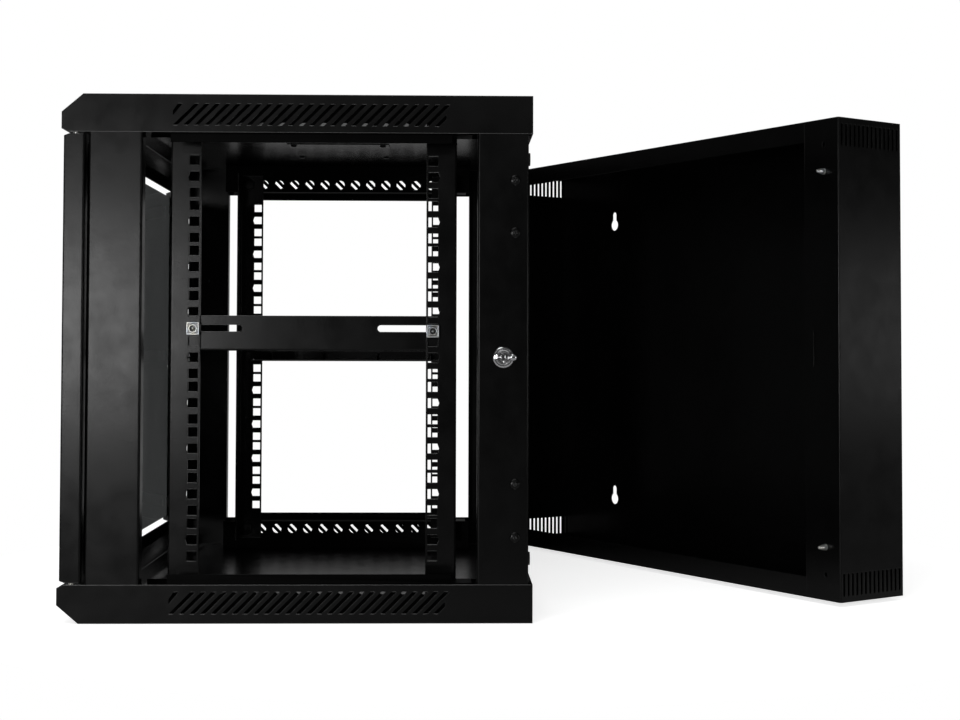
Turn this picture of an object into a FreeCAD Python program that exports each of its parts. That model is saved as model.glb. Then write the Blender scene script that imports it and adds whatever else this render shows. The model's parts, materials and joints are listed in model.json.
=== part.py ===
import FreeCAD, Part

import math
import os
import re

import Sketcher

# Wall mount network cabinet, 9 units high, in two sections, in millimetres.
# X runs to the right of someone facing the front door, Y to the rear and Z up.
# The origin is the centre of the base cover's underside. The wall section hangs on its
# hinge at the rear left and stands open, and both side panels are off.

SIZES = {
    # main section
    "cabinet_width": 600.0,
    "cabinet_height": 503.0,
    "section_depth": 450.0,
    # roof and base covers, one pressing used at both ends
    "cover_height": 36.5,
    "cover_sheet": 1.2,
    "chamfer_depth": 20.5,
    "chamfer_height": 17.5,
    "corner_cut_depth": 6.5,
    "corner_cut_height": 3.4,
    "louvre_start": -119.3,
    "louvre_pitch": 10.0,
    "louvre_count": 25.0,
    "louvre_rise": 20.5,
    "louvre_width": 4.2,
    "louvre_short": 11.0,
    "louvre_drop": 9.2,
    "entry_width": 260.0,
    "entry_depth": 62.0,
    "entry_behind": 110.0,
    "entry_lap": 9.0,
    # two places for fans in the roof, each closed by a screwed plate
    "fan_beside": 99.0,
    "fan_behind": 14.0,
    "fan_plate": 120.0,
    "fan_screw_inset": 7.5,
    "fan_screw_radius": 2.0,
    "fan_screw_slack": 0.3,
    "fan_head_radius": 3.5,
    "fan_head_crown": 2.4,
    "fan_head_height": 2.2,
    "vent_width": 5.0,
    "vent_length": 96.0,
    "vent_pitch": 14.0,
    "vent_count": 6.0,
    # posts of the welded frame
    "post_sheet": 1.5,
    "bend_radius": 2.0,
    "front_post_behind": 26.0,
    "front_post_width": 51.0,
    "front_flange": 25.0,
    "post_return": 15.0,
    "rear_post_ahead": 4.0,
    "rear_post_width": 49.0,
    "rear_flange": 46.0,
    # beams along the sides and bars across
    "beam_height": 44.2,
    "beam_reach": 30.0,
    "beam_lip": 6.5,
    "beam_short": 4.6,
    "beam_hole_inset": 26.5,
    "beam_hole": 12.0,
    "beam_hole_pitch": 20.0,
    "rail_steps": 13.0,
    "front_bar_height": 12.0,
    "rear_bar_height": 30.0,
    "bar_depth": 24.0,
    # equipment rails
    "rail_sheet": 2.0,
    "rail_plane": 255.6,
    "rail_flange": 29.9,
    "rail_opening": 450.0,
    "rail_inset": 15.0,
    "front_rail_behind": 70.4,
    "rail_bolt_setback": 10.4,
    "bolt_slack": 0.4,
    "rail_hole_setback": 6.75,
    "rack_hole_spacing": 465.1,
    "square_hole": 9.5,
    "rack_unit": 44.45,
    "rack_step": 15.875,
    "rack_units": 9.0,
    "arrow_notch": 1.6,
    # support brackets and their cage nuts
    "bracket_sheet": 1.5,
    "bracket_height": 34.5,
    "bracket_line": 12.4,
    "bracket_flange": 45.0,
    "bracket_end": 8.0,
    "bracket_corner_run": 6.0,
    "bracket_corner_rise": 5.0,
    "bracket_slot": 6.5,
    "front_slot_length": 50.5,
    "rear_slot_length": 57.7,
    "gusset": 9.0,
    "gusset_behind": 17.0,
    "gusset_count": 4.0,
    "gusset_pitch": 70.0,
    "right_bracket_hole": 28.575,
    "left_bracket_hole": 15.875,
    "cage_nut_side": 13.0,
    "cage_nut_depth": 5.0,
    "screw_radius": 3.0,
    "head_radius": 6.0,
    "head_crown": 4.2,
    "head_height": 3.5,
    "bolt_across": 5.0,
    "bolt_head": 4.0,
    # screw heads on the rear posts
    "post_screw_ahead": 13.1,
    "post_screw_inner": 131.5,
    "post_screw_outer": 81.0,
    "post_screw_radius": 4.8,
    "post_screw_crown": 3.1,
    "post_screw_height": 1.8,
    # wall section
    "wall_inset": 1.5,
    "wall_short": 4.0,
    "wall_depth": 92.0,
    "wall_sheet": 1.2,
    "wall_gap": 1.0,
    "rim_side": 48.0,
    "rim_end": 21.5,
    "open_angle": 32.1,
    "hinge_inset": 4.5,
    "hinge_behind": 5.0,
    "knuckle_radius": 4.4,
    "hinge_pin_radius": 2.5,
    "running_clearance": 0.05,
    "knuckle_below": 121.5,
    "knuckle_length": 19.5,
    "knuckle_gap": 1.0,
    "pin_button": 2.0,
    "pin_button_lap": 1.2,
    "leaf_sheet": 2.0,
    "leaf_width": 30.0,
    "leaf_clear": 3.0,
    "slit_height": 22.5,
    "slit_width": 3.0,
    "slit_pitch": 6.3,
    "slit_count": 14.0,
    "slit_margin": 6.5,
    "keyhole_inset": 114.4,
    "keyhole_high": 78.5,
    "keyhole_low": 66.5,
    "keyhole_radius": 7.25,
    "keyhole_slot": 8.0,
    "keyhole_rise": 17.0,
    "guide_inset": 20.6,
    "guide_below": 58.5,
    "guide_radius": 3.5,
    "guide_length": 10.0,
    "spare_hole_below": 30.5,
    "spare_hole": 5.0,
    "bush_radius": 6.3,
    "bush_proud": 2.3,
    "bush_bore": 4.6,
    "bush_wall": 0.7,
    "bush_slack": 0.3,
    "bush_sleeve": 3.5,
    # lock between the sections
    "lock_ahead": 24.2,
    "lock_up": 0.7,
    "lock_rosette": 11.0,
    "lock_rosette_height": 2.5,
    "lock_barrel": 8.5,
    "lock_plug": 6.0,
    "lock_nut_across": 12.0,
    "lock_nut_height": 4.0,
    "plug_sunk": 0.6,
    "keyway_depth": 6.0,
    "keyway_width": 2.0,
    "keyway_height": 7.2,
    "cam_play": 0.3,
    "cam_inset": 32.5,
    "cam_sheet": 2.5,
    "cam_half_width": 6.5,
    "cam_foot": 7.8,
    "cam_reach": 34.3,
    "cam_shoulder": 28.7,
    "cam_nose": 3.25,
    "strike_width": 7.0,
    "strike_below": 8.9,
    "strike_above": 28.0,
    # front door
    "door_gap": 2.0,
    "door_clear": 1.5,
    "door_thickness": 20.4,
    "door_sheet": 1.2,
    "stile_width": 58.0,
    "stile_lip": 12.0,
    "stile_cut_depth": 5.5,
    "stile_cut_height": 2.4,
    "glass_thickness": 5.0,
    "glass_gap": 0.4,
    "glass_back_gap": 0.3,
    "clip_length": 14.0,
    "clip_sheet": 1.5,
    "clip_lap": 5.0,
    "clip_inset": 25.5,
    "door_pin_inset": 9.0,
    "door_pin_radius": 3.0,
    "hinge_block": 14.0,
    "lug_sheet": 3.0,
    "lug_lift": 2.0,
    "door_lock_inset": 36.0,
    "door_cam_gap": 1.2,
    "door_cam_reach": 29.0,
    "door_cam_shoulder": 24.6,
}

doc = FreeCAD.newDocument("NetworkCabinet")
table = doc.addObject("Spreadsheet::Sheet", "Sizes")
for row, (alias, value) in enumerate(SIZES.items(), start=1):
    table.set(f"A{row}", alias)
    table.set(f"B{row}", str(value))
    table.setAlias(f"B{row}", alias)
doc.recompute()

HALF_WIDTH = "cabinet_width / 2"
MID = "cabinet_height / 2"
REAR = "section_depth / 2"
INSIDE = f"({HALF_WIDTH} - cover_sheet)"
AXIS_X = f"(hinge_inset - {HALF_WIDTH})"
AXIS_Y = f"({REAR} + hinge_behind)"
FRONT_FACE = f"(front_post_behind - {REAR})"
REAR_FACE = f"({REAR} - rear_post_ahead)"
FRONT_BEND = f"({FRONT_FACE} + front_rail_behind)"
FRONT_BOLT = f"({FRONT_BEND} + rail_bolt_setback)"
REAR_BOLT = f"({FRONT_BOLT} + beam_hole_pitch * rail_steps)"
REAR_BEND = f"({REAR_BOLT} + rail_bolt_setback)"
BEAM_HOLES = f"({MID} - beam_hole_inset)"
GUIDES = f"({MID} - guide_below)"
LOCK_Y = f"({REAR_FACE} - lock_ahead)"
LOCK_Z = f"({MID} + lock_up)"
CAM_PLANE = f"({HALF_WIDTH} - cover_sheet - cam_inset)"
WALL_HALF = f"({HALF_WIDTH} - wall_inset)"
DOOR_EDGE = f"({HALF_WIDTH} - door_gap)"
DOOR_HALF = f"({MID} - cover_height - door_clear)"
DOOR_FACE = f"(door_clear - {REAR})"
PARTS = []


def bound(expression):
    """Write the sheet's name before each size that an expression uses."""
    def named(found):
        word = found.group()
        return f"Sizes.{word}" if word in SIZES else word

    return re.sub(r"[a-z][a-z_]+", named, str(expression))


def value_of(expression):
    return float(table.evalExpression(bound(expression)))


def ordered(one, other):
    """Two stations along an axis, the lower one first."""
    return sorted((one, other), key=value_of)


def bind(thing, **expressions):
    for name, expression in expressions.items():
        thing.setExpression(name.replace("__", "."), bound(expression))


def keep(thing, label):
    """Give a finished piece its name and put it on the list of pieces to write."""
    thing.Label = label
    PARTS.append(thing)
    return thing


# Sheet metal pieces: bodies with sketches that are fixed point by point to the sheet


def new_body(label):
    body = doc.addObject("PartDesign::Body", "Body_" + label)
    return keep(body, label)


def origin_feature(body, role):
    return [item for item in body.Origin.OriginFeatures if item.Role == role][0]


def new_sketch(body, plane, offset):
    sketch = body.newObject("Sketcher::SketchObject", "Sketch")
    sketch.AttachmentSupport = [(origin_feature(body, plane + "_Plane"), "")]
    sketch.MapMode = "FlatFace"
    bind(sketch, AttachmentOffset__Base__z=offset)
    return sketch


def at(edge, point, across, up):
    """Two dimensions from the sketch's origin to one point of an edge."""
    return [("DistanceX", -1, 1, edge, point, across), ("DistanceY", -1, 1, edge, point, up)]


def hold(sketch, dimensions):
    """Add dimensions to a sketch, each one driven by the expression at its end."""
    first = sketch.ConstraintCount
    sketch.addConstraint([Sketcher.Constraint(*facts, value_of(drive)) for *facts, drive in dimensions])
    for place, (*_, drive) in enumerate(dimensions, start=first):
        sketch.setExpression(f"Constraints[{place}]", bound(drive))


def polygon(*corners):
    """An outline with straight sides through the corners."""

    def draw(sketch):
        spots = [FreeCAD.Vector(value_of(across), value_of(up), 0) for across, up in corners]
        first = sketch.GeometryCount
        count = len(spots)
        sides = [Part.LineSegment(spots[index], spots[(index + 1) % count]) for index in range(count)]
        sketch.addGeometry(sides, False)
        sketch.addConstraint([
            Sketcher.Constraint("Coincident", first + index, 2, first + (index + 1) % count, 1)
            for index in range(count)
        ])
        hold(sketch, [row for index, spot in enumerate(corners) for row in at(first + index, 1, *spot)])

    return draw


def rectangle(left, right, low, high):
    return polygon((left, low), (right, low), (right, high), (left, high))


def circle(across, up, radius):
    def draw(sketch):
        centre = FreeCAD.Vector(value_of(across), value_of(up), 0)
        edge = sketch.addGeometry(Part.Circle(centre, FreeCAD.Vector(0, 0, 1), value_of(radius)), False)
        hold(sketch, at(edge, 3, across, up) + [("Radius", edge, radius)])

    return draw


def ring(across, up, radius, sides=12):
    """A punched hole in a row of many, drawn with a few flat sides."""
    turns = [2 * math.pi * (step + 0.5) / sides for step in range(sides)]
    return polygon(*[
        (f"{across} + ({radius}) * {math.cos(turn):.6f}", f"{up} + ({radius}) * {math.sin(turn):.6f}")
        for turn in turns
    ])


def long_slot(start, end, level, radius):
    """A level slot with round ends, its end centres at start and end."""

    def draw(sketch):
        x_start, x_end, y, r = (value_of(item) for item in (start, end, level, radius))
        spots = [(x_start, y - r), (x_end, y - r), (x_end, y + r), (x_start, y + r)]
        spots = [FreeCAD.Vector(across, up, 0) for across, up in spots]
        low = sketch.addGeometry(Part.LineSegment(spots[0], spots[1]), False)
        right = sketch.addGeometry(Part.Arc(spots[1], FreeCAD.Vector(x_end + r, y, 0), spots[2]), False)
        high = sketch.addGeometry(Part.LineSegment(spots[2], spots[3]), False)
        left = sketch.addGeometry(Part.Arc(spots[3], FreeCAD.Vector(x_start - r, y, 0), spots[0]), False)
        for one, first, other, second in (
            (low, 2, right, 1), (high, 1, right, 2), (high, 2, left, 1), (low, 1, left, 2),
        ):
            sketch.addConstraint(Sketcher.Constraint("Coincident", one, first, other, second))
        hold(sketch, [
            *at(low, 1, start, f"({level}) - ({radius})"), *at(low, 2, end, f"({level}) - ({radius})"),
            *at(high, 1, end, f"({level}) + ({radius})"), *at(high, 2, start, f"({level}) + ({radius})"),
            ("DistanceX", -1, 1, right, 3, end), ("DistanceX", -1, 1, left, 3, start),
        ])

    return draw


def solid_between(body, plane, low, high, *outlines):
    """Pad outlines between two stations along the plane's axis."""
    sketch = new_sketch(body, plane, f"-({high})" if plane == "XZ" else low)
    for draw in outlines:
        draw(sketch)
    pad = body.newObject("PartDesign::Pad", "Pad")
    pad.Profile = sketch
    bind(pad, Length=f"({high}) - ({low})")
    body.Tip = pad
    doc.recompute()
    return pad


def cut_between(body, plane, low, high, *outlines):
    """Pocket outlines between two stations along the plane's axis."""
    before = body.Shape.Volume
    sketch = new_sketch(body, plane, f"-({low})" if plane == "XZ" else high)
    for draw in outlines:
        draw(sketch)
    pocket = body.newObject("PartDesign::Pocket", "Pocket")
    pocket.Profile = sketch
    pocket.Type = "Length"
    bind(pocket, Length=f"({high}) - ({low})")
    body.Tip = pocket
    doc.recompute()
    if body.Shape.Volume > before - 0.01:
        raise RuntimeError(f"a pocket in {body.Label} cuts nothing")
    return pocket


def repeat(body, features, axis, pitch, count):
    """Repeat features of a body along one of its axes."""
    before = body.Shape.Volume
    row_of = body.newObject("PartDesign::LinearPattern", "Row")
    row_of.Originals = features
    row_of.Direction = (origin_feature(body, axis + "_Axis"), [""])
    bind(row_of, Length=f"({pitch}) * (({count}) - 1)", Occurrences=count)
    body.Tip = row_of
    doc.recompute()
    if abs(body.Shape.Volume - before) < 0.01:
        raise RuntimeError(f"a pattern in {body.Label} changes nothing")
    return row_of


def round_edges(body, radius, wanted):
    """Round the straight edges whose middle and direction pass a test."""
    names = []
    for index, edge in enumerate(body.Shape.Edges, start=1):
        if len(edge.Vertexes) != 2 or edge.Curve.TypeId != "Part::GeomLine":
            continue
        ends = [vertex.Point for vertex in edge.Vertexes]
        if wanted((ends[0] + ends[1]) * 0.5, (ends[1] - ends[0]).normalize()):
            names.append(f"Edge{index}")
    if not names:
        raise RuntimeError(f"no edge to round on {body.Label}")
    base = body.Tip
    fillet = body.newObject("PartDesign::Fillet", "Bend")
    fillet.Base = (base, names)
    bind(fillet, Radius=radius)
    body.Tip = fillet
    doc.recompute()
    return fillet


def near(one, expression, slack=0.01):
    return abs(one - value_of(expression)) < slack


# Turned and sawn pieces: primitives, placed and sized by the sheet

TURNS = {
    "X": FreeCAD.Rotation(FreeCAD.Vector(0, 1, 0), 90),
    "-X": FreeCAD.Rotation(FreeCAD.Vector(0, 1, 0), -90),
    "Y": FreeCAD.Rotation(FreeCAD.Vector(1, 0, 0), -90),
    "-Y": FreeCAD.Rotation(FreeCAD.Vector(1, 0, 0), 90),
    "Z": FreeCAD.Rotation(),
}


def place(thing, x, y, z, axis="Z"):
    thing.Placement = FreeCAD.Placement(FreeCAD.Vector(), TURNS[axis])
    bind(thing, Placement__Base__x=x, Placement__Base__y=y, Placement__Base__z=z)
    return thing


def block(x_low, x_high, y_low, y_high, z_low, z_high):
    box = doc.addObject("Part::Box", "Block")
    bind(box, Length=f"({x_high}) - ({x_low})", Width=f"({y_high}) - ({y_low})")
    bind(box, Height=f"({z_high}) - ({z_low})")
    return place(box, x_low, y_low, z_low)


def rod(x, y, z, axis, radius, length):
    cylinder = doc.addObject("Part::Cylinder", "Rod")
    bind(cylinder, Radius=radius, Height=length)
    return place(cylinder, x, y, z, axis)


def taper(x, y, z, axis, radius, end_radius, length):
    cone = doc.addObject("Part::Cone", "Taper")
    bind(cone, Radius1=radius, Radius2=end_radius, Height=length)
    return place(cone, x, y, z, axis)


def prism(sides, x, y, z, axis, radius, length):
    bar = doc.addObject("Part::Prism", "Prism")
    bar.Polygon = sides
    bind(bar, Circumradius=radius, Height=length)
    return place(bar, x, y, z, axis)


def joined(*shapes):
    fuse = doc.addObject("Part::MultiFuse", "Joined")
    fuse.Shapes = list(shapes)
    return fuse


def less(base, *tools):
    cut = doc.addObject("Part::Cut", "Less")
    cut.Base = base
    cut.Tool = tools[0] if len(tools) == 1 else joined(*tools)
    return cut


def group(label, shapes):
    """Alike pieces in one node, each a solid of its own."""
    bundle = doc.addObject("Part::Compound", "Group")
    bundle.Links = list(shapes)
    return keep(bundle, label)


def hang_on_hinge(thing):
    """Turn a piece of the wall section about the hinge, to where it stands open."""
    thing.Placement = FreeCAD.Placement()
    bind(thing, Placement__Base__x=AXIS_X, Placement__Base__y=AXIS_Y, Placement__Rotation__Angle="open_angle")
    return thing


# Covers: a shallow pressed tray with a sloped front edge and slanted louvres in both skirts


def fan_screws(side):
    """Where the four screws of one fan place stand."""
    span = "(fan_plate / 2 - fan_screw_inset)"
    return [
        (f"({side} * fan_beside + {across} * {span})", f"(fan_behind + {along} * {span})")
        for across in (-1, 1)
        for along in (-1, 1)
    ]


def cover(label, fan_places):
    body = new_body(label)
    front = f"-{REAR}"
    solid_between(
        body, "YZ", f"-{HALF_WIDTH}", HALF_WIDTH,
        polygon(
            (front, 0), (REAR, 0), (REAR, "cover_height"),
            (f"{front} + chamfer_depth", "cover_height"), (front, "cover_height - chamfer_height"),
        ),
    )
    slope = "sqrt(chamfer_depth ^ 2 + chamfer_height ^ 2)"
    lip_inside = f"({front} + cover_sheet)"
    rear_inside = f"({REAR} - cover_sheet)"
    roof_inside = "(cover_height - cover_sheet)"
    bend_back = f"({front} + chamfer_depth + cover_sheet * ({slope} - chamfer_depth) / chamfer_height)"
    bend_low = f"(cover_height - chamfer_height - cover_sheet * ({slope} - chamfer_height) / chamfer_depth)"
    cut_between(
        body, "YZ", f"-{INSIDE}", INSIDE,
        polygon((lip_inside, -1), (rear_inside, -1), (rear_inside, roof_inside), (bend_back, roof_inside),
                (lip_inside, bend_low)),
    )
    cut_between(
        body, "YZ", f"-{HALF_WIDTH} - 1", f"{HALF_WIDTH} + 1",
        polygon((f"{front} - 1", -1), (f"{front} + corner_cut_depth", -1),
                (f"{front} + corner_cut_depth", 0), (f"{front} - 1", "corner_cut_height")),
    )
    high = "(cover_height - louvre_drop)"
    low = f"({high} - louvre_rise)"
    end = "(louvre_start + louvre_pitch * louvre_count)"
    for side_low, side_high, lean in (
        (f"{HALF_WIDTH} - cover_sheet - 1", f"{HALF_WIDTH} + 1", 1),
        (f"-{HALF_WIDTH} - 1", f"-{HALF_WIDTH} + cover_sheet + 1", -1),
    ):
        bottom, top = (low, high) if lean > 0 else (high, low)
        one = cut_between(
            body, "YZ", side_low, side_high,
            polygon(("louvre_start", bottom), ("louvre_start + louvre_width", bottom),
                    ("louvre_start + louvre_width + louvre_rise", top), ("louvre_start + louvre_rise", top)),
        )
        repeat(body, [one], "Y", "louvre_pitch", "louvre_count")
        rest = f"({bottom} + {lean} * (louvre_rise - louvre_short))"
        stop = f"({bottom} + {lean} * louvre_short)"
        cut_between(
            body, "YZ", side_low, side_high,
            polygon(("louvre_start", rest), ("louvre_start + louvre_short - louvre_width / 2", top),
                    ("louvre_start + louvre_short - 3 * louvre_width / 2", top),
                    ("louvre_start", f"{rest} + {lean} * louvre_width")),
            polygon((end, bottom), (f"{end} + louvre_width", bottom),
                    (f"{end} + louvre_short", f"{stop} - {lean} * louvre_width"),
                    (f"{end} + louvre_short", stop)),
        )
    outer = "(cover_height + 1)"
    inner = "(cover_height - cover_sheet - 1)"
    cut_between(
        body, "XY", inner, outer,
        rectangle("-entry_width / 2", "entry_width / 2", "entry_behind", "entry_behind + entry_depth"),
    )
    for side in (-1, 1) if fan_places else ():
        near_edge = f"({side} * fan_beside - vent_pitch * (vent_count - 1) / 2 - vent_width / 2)"
        vent = cut_between(
            body, "XY", inner, outer,
            rectangle(near_edge, f"{near_edge} + vent_width",
                      "fan_behind - vent_length / 2", "fan_behind + vent_length / 2"),
        )
        repeat(body, [vent], "X", "vent_pitch", "vent_count")
        cut_between(
            body, "XY", inner, outer,
            *[ring(*spot, "fan_screw_radius + fan_screw_slack", SCREW_SIDES) for spot in fan_screws(side)],
        )
    return body


SCREW_SIDES = 8
roof = cover("roof_cover", True)
bind(roof, Placement__Base__z="cabinet_height - cover_height")
base = cover("base_cover", False)
base.Placement = FreeCAD.Placement(FreeCAD.Vector(), FreeCAD.Rotation(FreeCAD.Vector(0, 1, 0), 180))
bind(base, Placement__Base__z="cover_height")

# Plates that close the cable entries, lying on the inner face of each cover
entry_low = "entry_behind - entry_lap"
entry_high = "entry_behind + entry_depth + entry_lap"
for label, z_low in (
    ("roof_entry_plate", "cabinet_height - 2 * cover_sheet"),
    ("base_entry_plate", "cover_sheet"),
):
    plate = block("-entry_width / 2 - entry_lap", "entry_width / 2 + entry_lap", entry_low, entry_high,
                  z_low, f"{z_low} + cover_sheet")
    keep(plate, label)

# Plates under the two fan places of the roof and the screws in their corners
plates = []
screws = []
for side in (-1, 1):
    low_face = "(cabinet_height - 2 * cover_sheet)"
    plate = block(f"{side} * fan_beside - fan_plate / 2", f"{side} * fan_beside + fan_plate / 2",
                  "fan_behind - fan_plate / 2", "fan_behind + fan_plate / 2", low_face, "cabinet_height - cover_sheet")
    holes = [prism(SCREW_SIDES, *spot, f"{low_face} - 1", "Z", "fan_screw_radius + fan_screw_slack",
                   "cover_sheet + 2") for spot in fan_screws(side)]
    plates.append(less(plate, *holes))
    for spot in fan_screws(side):
        shank = prism(SCREW_SIDES, *spot, low_face, "Z", "fan_screw_radius", "2 * cover_sheet")
        head = taper(*spot, f"{low_face} - fan_head_height", "Z", "fan_head_crown", "fan_head_radius",
                     "fan_head_height")
        screws.append(joined(shank, head))
group("fan_plates", plates)
group("fan_plate_screws", screws)

# Posts: folded channels that stand between the covers, flanges turned inwards
FOOT = "cover_sheet"
HEAD = "(cabinet_height - cover_sheet)"


def post(label, side, face, width, flange, direction):
    """A post on one side. direction is 1 where the wide flange is in front and -1 where it is behind."""
    body = new_body(label)
    outer = f"({side} * {INSIDE})"
    skin = f"({outer} - {side} * post_sheet)"
    wide = f"({outer} - {side} * {flange})"
    narrow = f"({outer} - {side} * post_return)"
    far = f"({face} + {direction} * {width})"
    solid_between(
        body, "XY", FOOT, HEAD,
        polygon(
            (outer, face), (outer, far), (narrow, far), (narrow, f"{far} - {direction} * post_sheet"),
            (skin, f"{far} - {direction} * post_sheet"), (skin, f"{face} + {direction} * post_sheet"),
            (wide, f"{face} + {direction} * post_sheet"), (wide, face),
        ),
    )
    round_edges(
        body, "bend_radius",
        lambda middle, along: abs(along.z) > 0.9 and near(middle.x, outer)
        and (near(middle.y, face) or near(middle.y, far)),
    )
    return body


SIDES = (("left", -1), ("right", 1))
BUSH_HOLE = "bush_bore + bush_wall + bush_slack"
for name, side in SIDES:
    front_post = post(f"front_post_{name}", side, FRONT_FACE, "front_post_width", "front_flange", 1)
    rear_post = post(f"rear_post_{name}", side, REAR_FACE, "rear_post_width", "rear_flange", -1)
    behind = (f"{REAR_FACE} - post_sheet - 1", f"{REAR_FACE} + 1")
    if side > 0:
        cut_between(
            rear_post, "XZ", *behind,
            rectangle(f"{CAM_PLANE} - strike_width / 2", f"{CAM_PLANE} + strike_width / 2",
                      f"{LOCK_Z} - strike_below", f"{LOCK_Z} + strike_above"),
            circle(f"{WALL_HALF} - guide_inset", f"{MID} + {GUIDES}", BUSH_HOLE),
            circle(f"{WALL_HALF} - guide_inset", f"{MID} - {GUIDES}", BUSH_HOLE),
        )
        cut_between(
            rear_post, "YZ", f"{INSIDE} - post_sheet - 1", f"{INSIDE} + 1",
            circle(LOCK_Y, LOCK_Z, "lock_barrel + running_clearance"),
        )

# Beams along the sides: a pierced web, a flange on the cover, a ledge over the side opening and its lip
FRONT_STOP = f"({FRONT_FACE} + front_post_width)"
REAR_STOP = f"({REAR_FACE} - rear_post_width)"
LIP_START = f"({FRONT_BEND} + beam_short)"
LIP_STOP = f"({REAR_BEND} - beam_short)"
for level, sign in (("top", 1), ("bottom", -1)):
    for name, side in SIDES:
        beam = new_body(f"{level}_beam_{name}")
        inner = f"({side} * rail_plane)"
        sheet = f"{side} * post_sheet"
        reach = f"({inner} + {side} * beam_reach)"
        far = f"({MID} + {sign} * ({MID} - cover_sheet))"
        edge = f"({MID} + {sign} * ({MID} - beam_height))"
        bend = f"({edge} + {sign} * beam_lip)"
        ledge = f"({bend} - {sign} * post_sheet)"
        solid_between(
            beam, "XZ", FRONT_STOP, REAR_STOP,
            polygon((inner, ledge), (inner, far), (reach, far), (reach, f"{far} - {sign} * post_sheet"),
                    (f"{inner} + {sheet}", f"{far} - {sign} * post_sheet"), (f"{inner} + {sheet}", ledge)),
        )
        solid_between(
            beam, "XZ", LIP_START, f"{REAR_STOP} - beam_short",
            rectangle(*ordered(f"({inner} + {sheet})", reach), *ordered(bend, ledge)),
        )
        solid_between(
            beam, "XZ", LIP_START, LIP_STOP,
            rectangle(*ordered(f"({reach} - {sheet})", reach), *ordered(edge, ledge)),
        )
        wall_low, wall_high = ordered(f"({inner} - {side})", f"({inner} + {sheet} + {side})")
        hole = cut_between(
            beam, "YZ", wall_low, wall_high,
            ring(FRONT_BOLT, f"{MID} + {sign} * {BEAM_HOLES}", "beam_hole / 2"),
        )
        repeat(beam, [hole], "Y", "beam_hole_pitch", "rail_steps + 1")

# Bars across the frame: angles that lie on the covers between the posts
for level, sign in (("top", 1), ("bottom", -1)):
    limit = f"({MID} + {sign} * ({MID} - cover_sheet))"
    for end, face, direction, height, flange in (
        ("front", FRONT_FACE, 1, "front_bar_height", "front_flange"),
        ("rear", REAR_FACE, -1, "rear_bar_height", "rear_flange"),
    ):
        bar = new_body(f"{end}_bar_{level}")
        span = f"({INSIDE} - {flange})"
        edge = f"({limit} - {sign} * {height})"
        floor = f"({limit} - {sign} * post_sheet)"
        reach = f"({face} + {direction} * bar_depth)"
        skin = f"({face} + {direction} * post_sheet)"
        solid_between(
            bar, "YZ", f"-{span}", span,
            polygon((face, limit), (face, edge), (skin, edge), (skin, floor), (reach, floor), (reach, limit)),
        )
        round_edges(
            bar, "bend_radius",
            lambda middle, along: abs(along.x) > 0.9 and near(middle.y, face) and near(middle.z, limit),
        )

# Equipment rails: angles with three square holes to the unit in both legs
UNIT_LOW = f"({MID} - rack_unit * (rack_units - 1) / 2)"


def square_row(centre, direction):
    """The three holes of one unit. The middle one has a small arrow cut in the side of the bend."""
    half = "square_hole / 2"
    low = f"({centre} - {half})"
    high = f"({centre} + {half})"
    squares = [
        rectangle(low, high, f"{UNIT_LOW} {step} - {half}", f"{UNIT_LOW} {step} + {half}")
        for step in ("- rack_step", "+ rack_step")
    ]
    if direction is None:
        squares.append(rectangle(low, high, f"{UNIT_LOW} - {half}", f"{UNIT_LOW} + {half}"))
        return squares
    marked, plain = (low, high) if direction < 0 else (high, low)
    squares.append(
        polygon((plain, f"{UNIT_LOW} - {half}"), (marked, f"{UNIT_LOW} - {half}"),
                (f"{marked} + {direction} * arrow_notch", UNIT_LOW), (marked, f"{UNIT_LOW} + {half}"),
                (plain, f"{UNIT_LOW} + {half}"))
    )
    return squares


for end, bend, direction in (("front", FRONT_BEND, 1), ("rear", REAR_BEND, -1)):
    for name, side in SIDES:
        rail = new_body(f"{end}_rail_{name}")
        outer = f"({side} * rail_plane)"
        inner = f"({side} * rail_opening / 2)"
        sheet = f"{side} * rail_sheet"
        free = f"({bend} + {direction} * rail_flange)"
        solid_between(
            rail, "XY", "rail_inset", "cabinet_height - rail_inset",
            polygon((outer, bend), (outer, free), (f"{outer} - {sheet}", free),
                    (f"{outer} - {sheet}", f"{bend} + {direction} * rail_sheet"),
                    (inner, f"{bend} + {direction} * rail_sheet"), (inner, bend)),
        )
        round_edges(
            rail, "bend_radius",
            lambda middle, along: abs(along.z) > 0.9 and near(middle.x, outer) and near(middle.y, bend),
        )
        centre = f"({free} - {direction} * rail_hole_setback)"
        low, high = ordered(f"({outer} - {sheet} - {side})", f"({outer} + {side})")
        side_holes = cut_between(rail, "YZ", low, high, *square_row(centre, -direction))
        low, high = ordered(f"({bend} - {direction})", f"({bend} + {direction} * (rail_sheet + 1))")
        column = f"({side} * rack_hole_spacing / 2)"
        front_holes = cut_between(rail, "XZ", low, high, *square_row(column, None))
        repeat(rail, [side_holes, front_holes], "Z", "rack_unit", "rack_units")
        low, high = ordered(f"({outer} - {sheet} - {side})", f"({outer} + {side})")
        cut_between(
            rail, "YZ", low, high,
            ring(f"({bend} + {direction} * rail_bolt_setback)", f"{MID} + {BEAM_HOLES}",
                 "screw_radius + bolt_slack"),
            ring(f"({bend} + {direction} * rail_bolt_setback)", f"{MID} - {BEAM_HOLES}",
                 "screw_radius + bolt_slack"),
        )

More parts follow.
